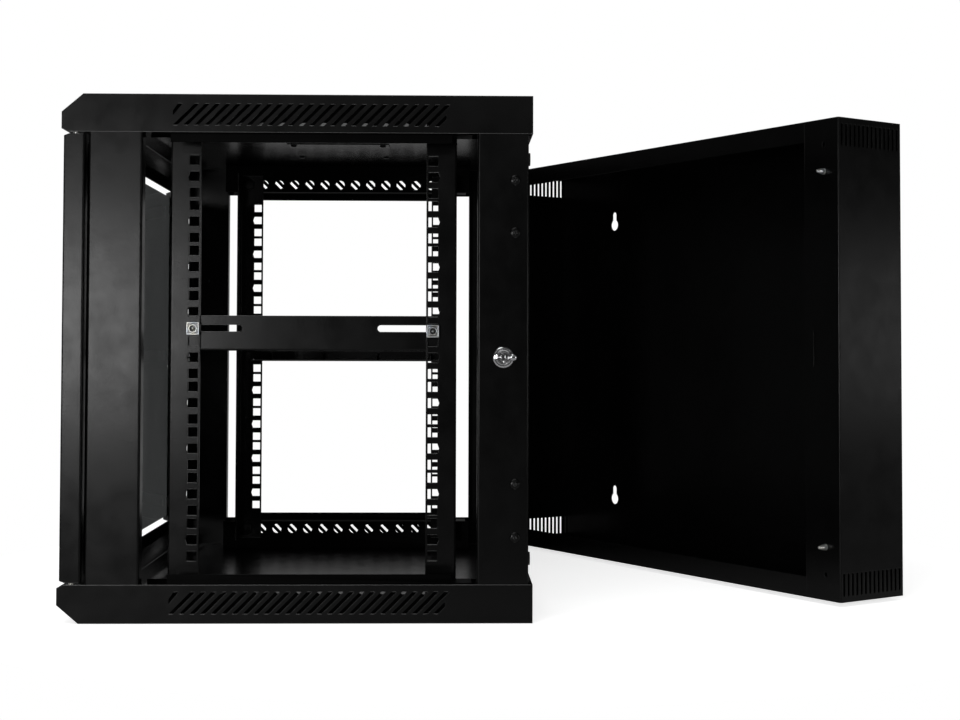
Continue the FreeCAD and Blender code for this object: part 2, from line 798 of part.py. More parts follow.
# Support brackets: angles screwed to the rails, with slots for depth and pressed gussets
FRONT_HOLES = f"({FRONT_BEND} + rail_flange - rail_hole_setback)"
REAR_HOLES = f"({REAR_BEND} - rail_flange + rail_hole_setback)"
for name, side in SIDES:
    bracket = new_body(f"support_bracket_{name}")
    line = f"({MID} + {name}_bracket_hole)"
    outer = f"({side} * (rail_plane - rail_sheet))"
    skin = f"({outer} - {side} * bracket_sheet)"
    inner = f"({outer} - {side} * bracket_flange)"
    top = f"({line} + bracket_line)"
    bottom = f"({top} - bracket_height)"
    floor = f"({bottom} + bracket_sheet)"
    solid_between(
        bracket, "XZ", f"{FRONT_HOLES} - bracket_end", f"{REAR_HOLES} + bracket_end",
        polygon((outer, top), (outer, bottom), (inner, bottom), (inner, floor), (skin, floor), (skin, top)),
    )
    round_edges(
        bracket, "bend_radius",
        lambda middle, along: abs(along.y) > 0.9 and near(middle.x, outer) and near(middle.z, bottom),
    )
    low, high = ordered(f"({skin} - {side})", f"({outer} + {side})")
    cut_between(
        bracket, "YZ", low, high,
        long_slot(FRONT_HOLES, f"{FRONT_HOLES} + front_slot_length - bracket_slot", line, "bracket_slot / 2"),
        long_slot(f"{REAR_HOLES} - rear_slot_length + bracket_slot", REAR_HOLES, line, "bracket_slot / 2"),
    )
    start = f"({FRONT_HOLES} + gusset_behind)"
    rib = solid_between(
        bracket, "XZ", start, f"{start} + 2 * bracket_sheet",
        polygon((skin, floor), (f"{skin} - {side} * gusset", floor), (skin, f"{floor} + gusset")),
    )
    repeat(bracket, [rib], "Y", "gusset_pitch", "gusset_count")
    start = f"({FRONT_HOLES} - bracket_end)"
    low, high = ordered(f"({inner} - {side})", f"({outer} + {side})")
    cut_between(
        bracket, "YZ", low, high,
        polygon((f"{start} - 1", f"{bottom} - 1"), (f"{start} + bracket_corner_run", f"{bottom} - 1"),
                (f"{start} + bracket_corner_run", bottom), (start, f"{bottom} + bracket_corner_rise"),
                (f"{start} - 1", f"{bottom} + bracket_corner_rise")),
    )

# Cage nuts on the outer faces of the rails and their screws from inside
SHANK_SIDES = 8
nuts = []
screws = []
for name, side in SIDES:
    turn = "X" if side > 0 else "-X"
    back = "-X" if side > 0 else "X"
    line = f"({MID} + {name}_bracket_hole)"
    face = f"({side} * rail_plane)"
    head_face = f"({face} - {side} * (rail_sheet + bracket_sheet))"
    for spot in (FRONT_HOLES, REAR_HOLES):
        low, high = ordered(face, f"({face} + {side} * cage_nut_depth)")
        cage = block(low, high, f"{spot} - cage_nut_side / 2", f"{spot} + cage_nut_side / 2",
                     f"{line} - cage_nut_side / 2", f"{line} + cage_nut_side / 2")
        hole = prism(SHANK_SIDES, f"{face} - {side}", spot, line, turn, "screw_radius + running_clearance",
                     "cage_nut_depth + 2")
        nuts.append(less(cage, hole))
        shank = prism(SHANK_SIDES, head_face, spot, line, turn, "screw_radius",
                      "rail_sheet + bracket_sheet + cage_nut_depth + 1")
        head = taper(head_face, spot, line, back, "head_radius", "head_crown", "head_height")
        screws.append(joined(shank, head))
group("cage_nuts", nuts)
group("cage_screws", screws)

# Bolts that hold the rails to the beams, heads inside the rails and nuts in the channels
bolts = []
for name, side in SIDES:
    turn = "X" if side > 0 else "-X"
    inner_face = f"({side} * (rail_plane - rail_sheet))"
    back = "-X" if side > 0 else "X"
    for spot in (FRONT_BOLT, REAR_BOLT):
        for sign in (1, -1):
            level = f"({MID} + {sign} * {BEAM_HOLES})"
            shank = prism(SHANK_SIDES, inner_face, spot, level, turn, "screw_radius",
                          "rail_sheet + post_sheet + bolt_head + 1")
            head = prism(6, inner_face, spot, level, back, "bolt_across", "bolt_head")
            nut = prism(6, f"({side} * (rail_plane + post_sheet))", spot, level, turn, "beam_hole / 2 + 2",
                        "bolt_head")
            bolts.append(joined(shank, head, nut))
group("rail_bolts", bolts)

# Round screw heads on the outer faces of the rear posts
heads = []
for name, side in SIDES:
    turn = "X" if side > 0 else "-X"
    for height in ("post_screw_inner", "post_screw_outer"):
        for sign in (1, -1):
            heads.append(
                taper(f"({side} * {INSIDE})", f"({REAR_FACE} - post_screw_ahead)",
                      f"({MID} + {sign} * ({MID} - {height}))", turn,
                      "post_screw_radius", "post_screw_crown", "post_screw_height")
            )
group("rear_post_screws", heads)

# Bushes in the right rear post that take the wall section's guide pins
bushes = []
for sign in (1, -1):
    spot = (f"{WALL_HALF} - guide_inset", f"{MID} + {sign} * {GUIDES}")
    flange = rod(spot[0], REAR_FACE, spot[1], "Y", "bush_radius", "bush_proud")
    sleeve = rod(spot[0], f"{REAR_FACE} - bush_sleeve", spot[1], "Y", "bush_bore + bush_wall",
                 "bush_sleeve + bush_proud / 2")
    bore = rod(spot[0], f"{REAR_FACE} - 2 * bush_sleeve", spot[1], "Y", "bush_bore", "4 * bush_sleeve")
    bushes.append(less(joined(flange, sleeve), bore))
group("guide_bushes", bushes)

# Lock between the sections: a barrel through the post, a turning plug and a cam
CAM_OUT = f"({CAM_PLANE} + cam_sheet / 2)"
rosette = taper(INSIDE, LOCK_Y, LOCK_Z, "X", "lock_rosette", "lock_rosette - 1",
                "lock_rosette_height")
barrel = rod(f"{CAM_OUT} + cam_play", LOCK_Y, LOCK_Z, "X", "lock_barrel", f"{INSIDE} - {CAM_OUT}")
plug_hole = rod(f"{CAM_OUT} - 1", LOCK_Y, LOCK_Z, "X", "lock_plug + running_clearance",
                f"{INSIDE} - {CAM_OUT} + 2 * lock_rosette_height")
keep(less(joined(rosette, barrel), plug_hole), "section_lock_barrel")
nut = prism(6, f"{INSIDE} - post_sheet - lock_nut_height", LOCK_Y, LOCK_Z, "X", "lock_nut_across",
              "lock_nut_height")
nut_hole = rod(f"{INSIDE} - post_sheet - lock_nut_height - 1", LOCK_Y, LOCK_Z, "X",
               "lock_barrel + running_clearance", "lock_nut_height + 2")
keep(less(nut, nut_hole), "section_lock_nut")
plug_face = f"({INSIDE} + lock_rosette_height - plug_sunk)"
plug = rod(CAM_OUT, LOCK_Y, LOCK_Z, "X", "lock_plug", f"{plug_face} - {CAM_OUT}")
key_slot = block(f"{plug_face} - keyway_depth", f"{plug_face} + 1", f"{LOCK_Y} - keyway_width / 2",
                 f"{LOCK_Y} + keyway_width / 2", f"{LOCK_Z} - keyway_height / 2",
                 f"{LOCK_Z} + keyway_height / 2")
keep(less(plug, key_slot), "section_lock_plug")

cam = new_body("section_lock_cam")
solid_between(
    cam, "YZ", f"{CAM_PLANE} - cam_sheet / 2", CAM_OUT,
    polygon(
        (f"{LOCK_Y} - cam_foot", f"{LOCK_Z} - cam_foot"),
        (f"{LOCK_Y} + cam_foot", f"{LOCK_Z} - cam_foot"),
        (f"{LOCK_Y} + cam_half_width", f"{LOCK_Z} + cam_shoulder"),
        (f"{LOCK_Y} + cam_nose", f"{LOCK_Z} + cam_reach"),
        (f"{LOCK_Y} - cam_nose", f"{LOCK_Z} + cam_reach"),
        (f"{LOCK_Y} - cam_half_width", f"{LOCK_Z} + cam_shoulder"),
    ),
)

# Wall section: a shallow tray of welded sheet, drawn closed about its hinge and turned open
KNUCKLE_MID = f"({MID} - knuckle_below + knuckle_length + knuckle_gap / 2)"
RIM = "(wall_gap - hinge_behind)"
BACK = f"({RIM} + wall_depth)"
NEAR = "(wall_inset - hinge_inset)"
FAR = f"({NEAR} + 2 * {WALL_HALF})"
LOW = "wall_short"
HIGH = "(cabinet_height - wall_short)"

back_plate = new_body("wall_back_plate")
solid_between(back_plate, "XZ", f"{BACK} - wall_sheet", BACK, rectangle(NEAR, FAR, LOW, HIGH))
for centre in (f"({NEAR} + keyhole_inset)", f"({FAR} - keyhole_inset)"):
    for level in ("(cabinet_height - keyhole_high)", "keyhole_low"):
        cut_between(back_plate, "XZ", f"{BACK} - wall_sheet - 1", f"{BACK} + 1",
                    circle(centre, level, "keyhole_radius"))
        cut_between(back_plate, "XZ", f"{BACK} - wall_sheet - 1", f"{BACK} + 1",
                    rectangle(f"{centre} - keyhole_slot / 2", f"{centre} + keyhole_slot / 2", level,
                              f"{level} + keyhole_rise - keyhole_slot / 2"))
        cut_between(back_plate, "XZ", f"{BACK} - wall_sheet - 1", f"{BACK} + 1",
                    circle(centre, f"{level} + keyhole_rise - keyhole_slot / 2", "keyhole_slot / 2"))
hang_on_hinge(back_plate)

for name, edge, side in (("hinge", NEAR, 1), ("lock", FAR, -1)):
    wall = new_body(f"wall_side_{name}")
    skin = f"({edge} + {side} * wall_sheet)"
    lip = f"({edge} + {side} * rim_side)"
    solid_between(
        wall, "XY", LOW, HIGH,
        polygon((edge, f"{BACK} - wall_sheet"), (edge, RIM), (lip, RIM), (lip, f"{RIM} + wall_sheet"),
                (skin, f"{RIM} + wall_sheet"), (skin, f"{BACK} - wall_sheet")),
    )
    round_edges(
        wall, "bend_radius",
        lambda middle, along: abs(along.z) > 0.9 and near(middle.x, edge) and near(middle.y, RIM),
    )
    low, high = ordered(f"({edge} - {side})", f"({skin} + {side})")
    first = f"({RIM} + (wall_depth - slit_pitch * (slit_count - 1)) / 2 - slit_width / 2)"
    last = f"({first} + slit_width)"
    slits = cut_between(
        wall, "YZ", low, high,
        rectangle(first, last, f"{LOW} + slit_margin", f"{LOW} + slit_margin + slit_height"),
        rectangle(first, last, f"{HIGH} - slit_margin - slit_height", f"{HIGH} - slit_margin"),
    )
    repeat(wall, [slits], "Y", "slit_pitch", "slit_count")
    guide = f"({edge} + {side} * guide_inset)"
    cut_between(
        wall, "XZ", f"{RIM} - 1", f"{RIM} + wall_sheet + 1",
        ring(guide, "cabinet_height - spare_hole_below", "spare_hole / 2"),
        ring(guide, "spare_hole_below", "spare_hole / 2"),
    )
    if name == "lock":
        strike = f"({CAM_PLANE} - {AXIS_X})"
        cut_between(
            wall, "XZ", f"{RIM} - 1", f"{RIM} + wall_sheet + 1",
            rectangle(f"{strike} - strike_width / 2", f"{strike} + strike_width / 2",
                      f"{LOCK_Z} - strike_below", f"{LOCK_Z} + strike_above"),
        )
    else:
        for sign in (1, -1):
            level = f"({MID} + {sign} * {KNUCKLE_MID})"
            tall = "(knuckle_length + knuckle_gap / 2 + 2)"
            cut_between(
                wall, "XY", f"{level} - {tall}", f"{level} + {tall}",
                rectangle(f"{NEAR} - 1", "knuckle_radius + 2", f"{RIM} - 1", "knuckle_radius + 2"),
            )
    hang_on_hinge(wall)

for name, edge, sign in (("top", HIGH, -1), ("bottom", LOW, 1)):
    wall = new_body(f"wall_{name}")
    skin = f"({edge} + {sign} * wall_sheet)"
    lip = f"({edge} + {sign} * rim_end)"
    solid_between(
        wall, "YZ", f"{NEAR} + wall_sheet", f"{FAR} - wall_sheet",
        polygon((f"{BACK} - wall_sheet", edge), (f"{RIM} + wall_sheet", edge),
                (f"{RIM} + wall_sheet", skin), (f"{BACK} - wall_sheet", skin)),
    )
    solid_between(
        wall, "YZ", f"{NEAR} + rim_side", f"{FAR} - rim_side",
        polygon((RIM, edge), (f"{RIM} + wall_sheet", edge), (f"{RIM} + wall_sheet", lip), (RIM, lip)),
    )
    hang_on_hinge(wall)

# Guide pins on the lock side of the wall section
pins = []
for sign in (1, -1):
    level = f"({MID} + {sign} * {GUIDES})"
    across = f"({FAR} - guide_inset)"
    stem = rod(across, RIM, level, "-Y", "guide_radius", "guide_length * 0.6")
    nose = taper(across, f"{RIM} - guide_length * 0.6", level, "-Y", "guide_radius", "guide_radius * 0.5",
                 "guide_length * 0.4")
    pins.append(joined(stem, nose))
hang_on_hinge(group("guide_pins", pins))

# Hinges at the rear left: a leaf on the post, a leaf on the wall section and a pin
hinge_pins = []
for name, sign in (("upper", 1), ("lower", -1)):
    middle = f"({MID} + {sign} * {KNUCKLE_MID})"
    bottom = f"({middle} - knuckle_length - knuckle_gap / 2)"
    ends = {"fixed": bottom, "swing": f"({middle} + knuckle_gap / 2)"}
    bore_radius = "hinge_pin_radius + running_clearance"

    foot = ends["fixed"]
    knuckle = rod(AXIS_X, AXIS_Y, foot, "Z", "knuckle_radius", "knuckle_length")
    neck = block(f"{AXIS_X} - leaf_sheet / 2", f"{AXIS_X} + leaf_sheet / 2", REAR_FACE, AXIS_Y,
                 foot, f"{foot} + knuckle_length")
    leaf = block(f"{AXIS_X} - leaf_sheet / 2", f"{AXIS_X} + leaf_width", REAR_FACE,
                 f"{REAR_FACE} + leaf_sheet", foot, f"{foot} + 2 * knuckle_length + knuckle_gap")
    bore = rod(AXIS_X, AXIS_Y, f"{foot} - 1", "Z", bore_radius, "knuckle_length + 2")
    keep(less(joined(knuckle, neck, leaf), bore), f"post_hinge_{name}")

    foot = ends["swing"]
    knuckle = rod(0, 0, foot, "Z", "knuckle_radius", "knuckle_length")
    skin = f"({NEAR} + wall_sheet)"
    neck = block(skin, f"{skin} + leaf_sheet", 0, "leaf_width", foot, f"{foot} + knuckle_length")
    leaf = block(skin, f"{skin} + leaf_sheet", "knuckle_radius + leaf_clear", "leaf_width",
                 f"{foot} - knuckle_length", f"{foot} + knuckle_length")
    bore = rod(0, 0, f"{foot} - 1", "Z", bore_radius, "knuckle_length + 2")
    hang_on_hinge(keep(less(joined(knuckle, neck, leaf), bore), f"wall_hinge_{name}"))

    shaft = rod(AXIS_X, AXIS_Y, bottom, "Z", "hinge_pin_radius", "2 * knuckle_length + 1.5 * knuckle_gap")
    button = rod(AXIS_X, AXIS_Y, f"{bottom} - pin_button", "Z", "hinge_pin_radius + pin_button_lap",
                 "pin_button")
    hinge_pins.append(joined(shaft, button))
group("section_hinge_pins", hinge_pins)

# Front door: two folded stiles with the glass between them
DOOR_LOW = f"({MID} - {DOOR_HALF})"
DOOR_HIGH = f"({MID} + {DOOR_HALF})"
DOOR_REAR = f"({DOOR_FACE} + door_thickness)"
for name, side in SIDES:
    stile = new_body(f"door_stile_{name}")
    outer = f"({side} * {DOOR_EDGE})"
    inner = f"({outer} - {side} * stile_width)"
    outer_skin = f"({outer} - {side} * door_sheet)"
    inner_skin = f"({inner} + {side} * door_sheet)"
    face_skin = f"({DOOR_FACE} + door_sheet)"
    lip_skin = f"({DOOR_REAR} - door_sheet)"
    outer_lip = f"({outer} - {side} * stile_lip)"
    inner_lip = f"({inner} + {side} * stile_lip)"
    solid_between(
        stile, "XY", DOOR_LOW, DOOR_HIGH,
        polygon(
            (outer, DOOR_FACE), (outer, DOOR_REAR), (outer_lip, DOOR_REAR), (outer_lip, lip_skin),
            (outer_skin, lip_skin), (outer_skin, face_skin), (inner_skin, face_skin), (inner_skin, lip_skin),
            (inner_lip, lip_skin), (inner_lip, DOOR_REAR), (inner, DOOR_REAR), (inner, DOOR_FACE),
        ),
    )
    round_edges(
        stile, "bend_radius",
        lambda middle, along: abs(along.z) > 0.9 and near(middle.x, outer)
        and (near(middle.y, DOOR_FACE) or near(middle.y, DOOR_REAR)),
    )
    low, high = ordered(f"({outer} + {side})", f"({inner} - {side})")
    ahead = f"({DOOR_FACE} - 1)"
    corner = f"({DOOR_FACE} + stile_cut_depth)"
    cut_between(
        stile, "YZ", low, high,
        polygon((ahead, f"{DOOR_LOW} - 1"), (corner, f"{DOOR_LOW} - 1"), (corner, DOOR_LOW),
                (ahead, f"{DOOR_LOW} + stile_cut_height")),
        polygon((ahead, f"{DOOR_HIGH} + 1"), (corner, f"{DOOR_HIGH} + 1"), (corner, DOOR_HIGH),
                (ahead, f"{DOOR_HIGH} - stile_cut_height")),
    )
    if side < 0:
        lock_x = f"(door_lock_inset - {DOOR_EDGE})"
        cut_between(stile, "XZ", f"{DOOR_FACE} - 1", f"{DOOR_FACE} + door_sheet + 1",
                    circle(lock_x, LOCK_Z, "lock_barrel + running_clearance"))

GLASS_EDGE = f"({DOOR_EDGE} - stile_width - glass_gap)"
pane = block(f"-{GLASS_EDGE}", GLASS_EDGE, DOOR_FACE, f"{DOOR_FACE} + glass_thickness", DOOR_LOW, DOOR_HIGH)
keep(pane, "door_glass")

clips = []
for name, side in SIDES:
    for level in (f"({DOOR_HIGH} - clip_inset)", LOCK_Z, f"({DOOR_LOW} + clip_inset)"):
        stile_face = f"({side} * ({DOOR_EDGE} - stile_width))"
        reach = f"({stile_face} - {side} * clip_lap)"
        low, high = ordered(stile_face, reach)
        glass_back = f"({DOOR_FACE} + glass_thickness + glass_back_gap)"
        foot = block(low, high, glass_back, f"{glass_back} + clip_sheet",
                     f"{level} - clip_length / 2", f"{level} + clip_length / 2")
        low, high = ordered(stile_face, f"({stile_face} - {side} * clip_sheet)")
        upright = block(low, high, glass_back, f"{DOOR_REAR} - clip_sheet",
                        f"{level} - clip_length / 2", f"{level} + clip_length / 2")
        clips.append(joined(foot, upright))
group("glass_clips", clips)

# Door hinge on the right: a block in each end of the stile, a pin, and a lug under each cover
PIN_X = f"({DOOR_EDGE} - door_pin_inset)"
PIN_Y = f"({DOOR_FACE} + door_thickness / 2)"
blocks = []
door_pins = []
lugs = []
for sign, end in ((1, DOOR_HIGH), (-1, DOOR_LOW)):
    cover_edge = f"({MID} + {sign} * ({MID} - cover_height))"
    block_top = f"({end} - {sign} * stile_cut_height)"
    block_end = f"({block_top} - {sign} * hinge_block)"
    lug_face = f"({cover_edge} + {sign} * lug_lift)"
    lug_back = f"({lug_face} + {sign} * lug_sheet)"
    low, high = ordered(block_top, block_end)
    body_block = block(f"{DOOR_EDGE} - door_sheet - hinge_block", f"{DOOR_EDGE} - door_sheet",
                       f"{DOOR_FACE} + door_sheet", f"{DOOR_REAR} - door_sheet", low, high)
    bore = rod(PIN_X, PIN_Y, f"{low} - 1", "Z", "door_pin_radius + running_clearance", "hinge_block + 2")
    blocks.append(less(body_block, bore))
    low, high = ordered(lug_face, lug_back)
    plate = block(f"{PIN_X} - hinge_block / 2", INSIDE, f"{PIN_Y} - hinge_block / 2",
                  f"{PIN_Y} + hinge_block / 2", low, high)
    bore = rod(PIN_X, PIN_Y, f"{low} - 1", "Z", "door_pin_radius + running_clearance", "lug_sheet + 2")
    lugs.append(less(plate, bore))
    low, high = ordered(block_end, f"({lug_back} + {sign})")
    door_pins.append(rod(PIN_X, PIN_Y, low, "Z", "door_pin_radius", f"{high} - {low}"))
group("door_hinge_blocks", blocks)
group("door_hinge_pins", door_pins)
group("door_hinge_lugs", lugs)

# Door lock in the left stile, its cam behind the flange of the post
LOCK_X = f"(door_lock_inset - {DOOR_EDGE})"
CAM_Y = f"({FRONT_FACE} + post_sheet + door_cam_gap)"
rosette = taper(LOCK_X, DOOR_FACE, LOCK_Z, "-Y", "lock_rosette", "lock_rosette - 1", "lock_rosette_height")
barrel = rod(LOCK_X, DOOR_FACE, LOCK_Z, "Y", "lock_barrel", f"{CAM_Y} - {DOOR_FACE} - cam_play")
plug_hole = rod(LOCK_X, f"{DOOR_FACE} - 2 * lock_rosette_height", LOCK_Z, "Y",
                "lock_plug + running_clearance", f"{CAM_Y} - {DOOR_FACE} + 2 * lock_rosette_height")
keep(less(joined(rosette, barrel), plug_hole), "door_lock_barrel")
nut = prism(6, LOCK_X, f"{DOOR_FACE} + door_sheet", LOCK_Z, "Y", "lock_nut_across", "lock_nut_height")
nut_hole = rod(LOCK_X, DOOR_FACE, LOCK_Z, "Y", "lock_barrel + running_clearance", "2 * lock_nut_height")
keep(less(nut, nut_hole), "door_lock_nut")
plug_face = f"({DOOR_FACE} - lock_rosette_height + plug_sunk)"
plug = rod(LOCK_X, plug_face, LOCK_Z, "Y", "lock_plug", f"{CAM_Y} - {plug_face}")
key_slot = block(f"{LOCK_X} - keyway_width / 2", f"{LOCK_X} + keyway_width / 2", f"{plug_face} - 1",
                 f"{plug_face} + keyway_depth", f"{LOCK_Z} - keyway_height / 2",
                 f"{LOCK_Z} + keyway_height / 2")
keep(less(plug, key_slot), "door_lock_plug")
cam = new_body("door_lock_cam")
solid_between(
    cam, "XZ", CAM_Y, f"{CAM_Y} + cam_sheet",
    polygon(
        (f"{LOCK_X} - cam_foot", f"{LOCK_Z} - cam_foot"), (f"{LOCK_X} + cam_foot", f"{LOCK_Z} - cam_foot"),
        (f"{LOCK_X} + cam_half_width", f"{LOCK_Z} + door_cam_shoulder"),
        (f"{LOCK_X} + cam_nose", f"{LOCK_Z} + door_cam_reach"),
        (f"{LOCK_X} - cam_nose", f"{LOCK_Z} + door_cam_reach"),
        (f"{LOCK_X} - cam_half_width", f"{LOCK_Z} + door_cam_shoulder"),
    ),
)

doc.recompute()
for thing in doc.Objects:
    if "Invalid" in thing.State or "Error" in thing.State:
        raise RuntimeError(f"{thing.Name} failed: {thing.State}")
labels = [thing.Label for thing in PARTS]
if len(set(labels)) != len(labels):
    raise RuntimeError("two pieces share a name")
os.makedirs("parts", exist_ok=True)
for thing in PARTS:
    shape = thing.Shape
    if shape.isNull() or not shape.isValid() or not shape.Solids:
        raise RuntimeError(f"{thing.Label} has no sound shape")
    shape.exportStep(f"parts/{thing.Label}.step")
    print(f"{thing.Label}: {len(shape.Solids)} solids, {shape.Volume:.0f} mm3")
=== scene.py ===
# %% [markdown]
# Wall mount network cabinet, in Blender
#
# A wall mount network cabinet holds routers and patch panels on a wall. This one has two
# sections. The main section is a frame of folded steel with perforated rails, and the shallow
# wall section behind it stays on the wall, so that the main section can swing away from it.
# The solid model fixes every dimension. This lesson loads it, gives each piece its finish,
# and models the small parts whose real shape is finer than the solid.

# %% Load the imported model
import json
import math

import bmesh
import bpy
from mathutils import Matrix, Vector


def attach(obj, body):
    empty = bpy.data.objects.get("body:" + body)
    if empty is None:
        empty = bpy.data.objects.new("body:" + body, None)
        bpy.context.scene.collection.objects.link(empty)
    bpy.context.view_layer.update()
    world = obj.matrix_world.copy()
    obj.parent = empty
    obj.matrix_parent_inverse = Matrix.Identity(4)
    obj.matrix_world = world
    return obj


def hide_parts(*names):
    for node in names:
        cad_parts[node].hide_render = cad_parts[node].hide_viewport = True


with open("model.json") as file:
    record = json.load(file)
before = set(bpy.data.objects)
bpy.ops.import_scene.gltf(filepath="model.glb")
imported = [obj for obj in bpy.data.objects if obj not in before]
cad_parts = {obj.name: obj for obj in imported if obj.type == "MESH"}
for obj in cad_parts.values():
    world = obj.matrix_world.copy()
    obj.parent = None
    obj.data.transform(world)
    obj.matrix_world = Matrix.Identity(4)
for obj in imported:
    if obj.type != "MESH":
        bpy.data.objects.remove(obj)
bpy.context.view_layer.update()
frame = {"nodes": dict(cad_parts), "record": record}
nodes = frame["nodes"]
MM = 0.001

# %% [markdown]
# The camera stands two metres to the right of the cabinet, at half its height, and looks
# almost squarely at the open side. A real lens is never quite level, so the camera is built
# from three unit vectors (right, up and back) that carry its small turn, tilt and roll. The
# tilt makes upright edges lean a little, and the lens shift brings the cabinet back into view.

# %% Camera
CAMERA_PLACE = Vector((1.7705, 0.1427, 0.2569))
CAMERA_YAW = 0.0215
CAMERA_PITCH = 0.0333
CAMERA_ROLL = 0.0025
LENS_MM = 57.79
LENS_SHIFT = -0.0614
SENSOR_MM = 36.0


def camera_axes(yaw, pitch, roll):
    """Right, up and back of a camera that looks along -X before its three small turns."""
    ahead = Vector((-math.cos(yaw), math.sin(yaw), 0))
    right = Vector((math.sin(yaw), math.cos(yaw), 0))
    up = Vector((0, 0, 1))
    ahead, up = math.cos(pitch) * ahead + math.sin(pitch) * up, math.cos(pitch) * up - math.sin(pitch) * ahead
    right, up = math.cos(roll) * right + math.sin(roll) * up, math.cos(roll) * up - math.sin(roll) * right
    return right, up, -ahead


camera_data = bpy.data.cameras.new("camera")
camera_data.lens = LENS_MM
camera_data.sensor_width = SENSOR_MM
camera_data.shift_y = LENS_SHIFT
camera = bpy.data.objects.new("camera", camera_data)
bpy.context.scene.collection.objects.link(camera)
side_axis, up_axis, back_axis = camera_axes(CAMERA_YAW, CAMERA_PITCH, CAMERA_ROLL)
facing = Matrix((side_axis, up_axis, back_axis)).transposed()
camera.matrix_world = Matrix.Translation(CAMERA_PLACE) @ facing.to_4x4()
bpy.context.scene.camera = camera
print("camera at", tuple(CAMERA_PLACE))

# %% [markdown]
# Helpers for node materials. A material here is a chain of small nodes that end in one
# Principled BSDF. Each helper adds one kind of node and returns its output, so that a finish
# reads from top to bottom like a recipe.


# %% Node helpers
class Recipe:
    """Nodes of one material, added one at a time."""

    def __init__(self, name):
        self.material = bpy.data.materials.new(name)
        self.material.use_nodes = True
        self.tree = self.material.node_tree
        self.tree.nodes.clear()
        self.output = self.tree.nodes.new("ShaderNodeOutputMaterial")
        self.shader = self.tree.nodes.new("ShaderNodeBsdfPrincipled")
        self.tree.links.new(self.shader.outputs[0], self.output.inputs["Surface"])
        self.place = self.tree.nodes.new("ShaderNodeTexCoord").outputs["Object"]

    def link(self, source, target):
        """Join an output to an input."""
        self.tree.links.new(source, target)

    def add(self, kind, **inputs):
        """Add a node and fill its inputs with values or outputs."""
        node = self.tree.nodes.new(kind)
        for key, value in inputs.items():
            socket = node.inputs[key.replace("_", " ")]
            if isinstance(value, bpy.types.NodeSocket):
                self.link(value, socket)
            else:
                socket.default_value = value
        return node

    def noise(self, scale, detail=2.0, roughness=0.5, at=None):
        """Cloudy values from 0 to 1, scale clouds to the metre."""
        node = self.add("ShaderNodeTexNoise", Scale=scale, Detail=detail, Roughness=roughness)
        self.link(at or self.place, node.inputs["Vector"])
        return node.outputs["Fac"]

    def stretched(self, x, y, z):
        """The piece's own coordinates, scaled along each axis."""
        node = self.add("ShaderNodeMapping")
        node.inputs["Scale"].default_value = (x, y, z)
        self.link(self.place, node.inputs["Vector"])
        return node.outputs["Vector"]

    def spread(self, value, low, high, new_low, new_high):
        """Map a range of a value to another range."""
        node = self.tree.nodes.new("ShaderNodeMapRange")
        for key, number in (("From Min", low), ("From Max", high), ("To Min", new_low), ("To Max", new_high)):
            node.inputs[key].default_value = number
        self.link(value, node.inputs["Value"])
        return node.outputs["Result"]

    def blend(self, share, first, second):
        """Mix two colours by a share from 0 to 1."""
        node = self.tree.nodes.new("ShaderNodeMix")
        node.data_type = "RGBA"
        self.link(share, node.inputs["Factor"])
        for socket, colour in ((node.inputs["A"], first), (node.inputs["B"], second)):
            if isinstance(colour, bpy.types.NodeSocket):
                self.link(colour, socket)
            else:
                socket.default_value = (*colour, 1)
        return node.outputs["Result"]

    def bumped(self, height, strength, distance, normal=None):
        """A normal that follows small heights in the surface."""
        node = self.add("ShaderNodeBump", Strength=strength, Distance=distance)
        self.link(height, node.inputs["Height"])
        if normal is not None:
            self.link(normal, node.inputs["Normal"])
        return node.outputs["Normal"]

    def soft_edges(self, radius):
        """A normal that is rounded at every edge."""
        node = self.tree.nodes.new("ShaderNodeBevel")
        node.samples = 6
        node.inputs["Radius"].default_value = radius
        return node.outputs["Normal"]

    def recess_shade(self, reach):
        """1 on open faces, and lower down in a recess that is narrower than the reach; a share for painting shade
        into recesses.
        """
        node = self.tree.nodes.new("ShaderNodeAmbientOcclusion")
        node.only_local = True
        node.samples = 6
        node.inputs["Distance"].default_value = reach
        return self.spread(node.outputs["AO"], 0.45, 0.93, 0, 1)

    def combine(self, operation, first, second=None):
        """One step of arithmetic on one or two values."""
        node = self.tree.nodes.new("ShaderNodeMath")
        node.operation = operation
        self.link(first, node.inputs[0])
        if second is not None:
            self.link(second, node.inputs[1])
        return node.outputs[0]

    def fold_highlight_share(self, normal):
        """1 on the rounded lower and upper edges of sheets that face sideways, where a highlight is painted."""
        parts = self.tree.nodes.new("ShaderNodeSeparateXYZ")
        self.link(normal, parts.inputs[0])
        lean = self.combine("ABSOLUTE", parts.outputs["Z"])
        slant = self.combine("ABSOLUTE", parts.outputs["Y"])
        flat = self.tree.nodes.new("ShaderNodeVectorMath")
        flat.operation = "DOT_PRODUCT"
        self.link(normal, flat.inputs[0])
        self.link(self.tree.nodes.new("ShaderNodeNewGeometry").outputs["True Normal"], flat.inputs[1])
        share = self.spread(flat.outputs["Value"], 0.99, 0.93, 0, 1)
        share = self.combine("MULTIPLY", share, self.spread(lean, 0.15, 0.3, 0, 1))
        return self.combine("MULTIPLY", share, self.spread(slant, 0.1, 0.25, 1, 0))

    def set(self, **values):
        """Set the shader's inputs, and give the finished material."""
        for key, value in values.items():
            socket = self.shader.inputs[key.replace("_", " ")]
            if isinstance(value, bpy.types.NodeSocket):
                self.link(value, socket)
            else:
                socket.default_value = value
        return self.material
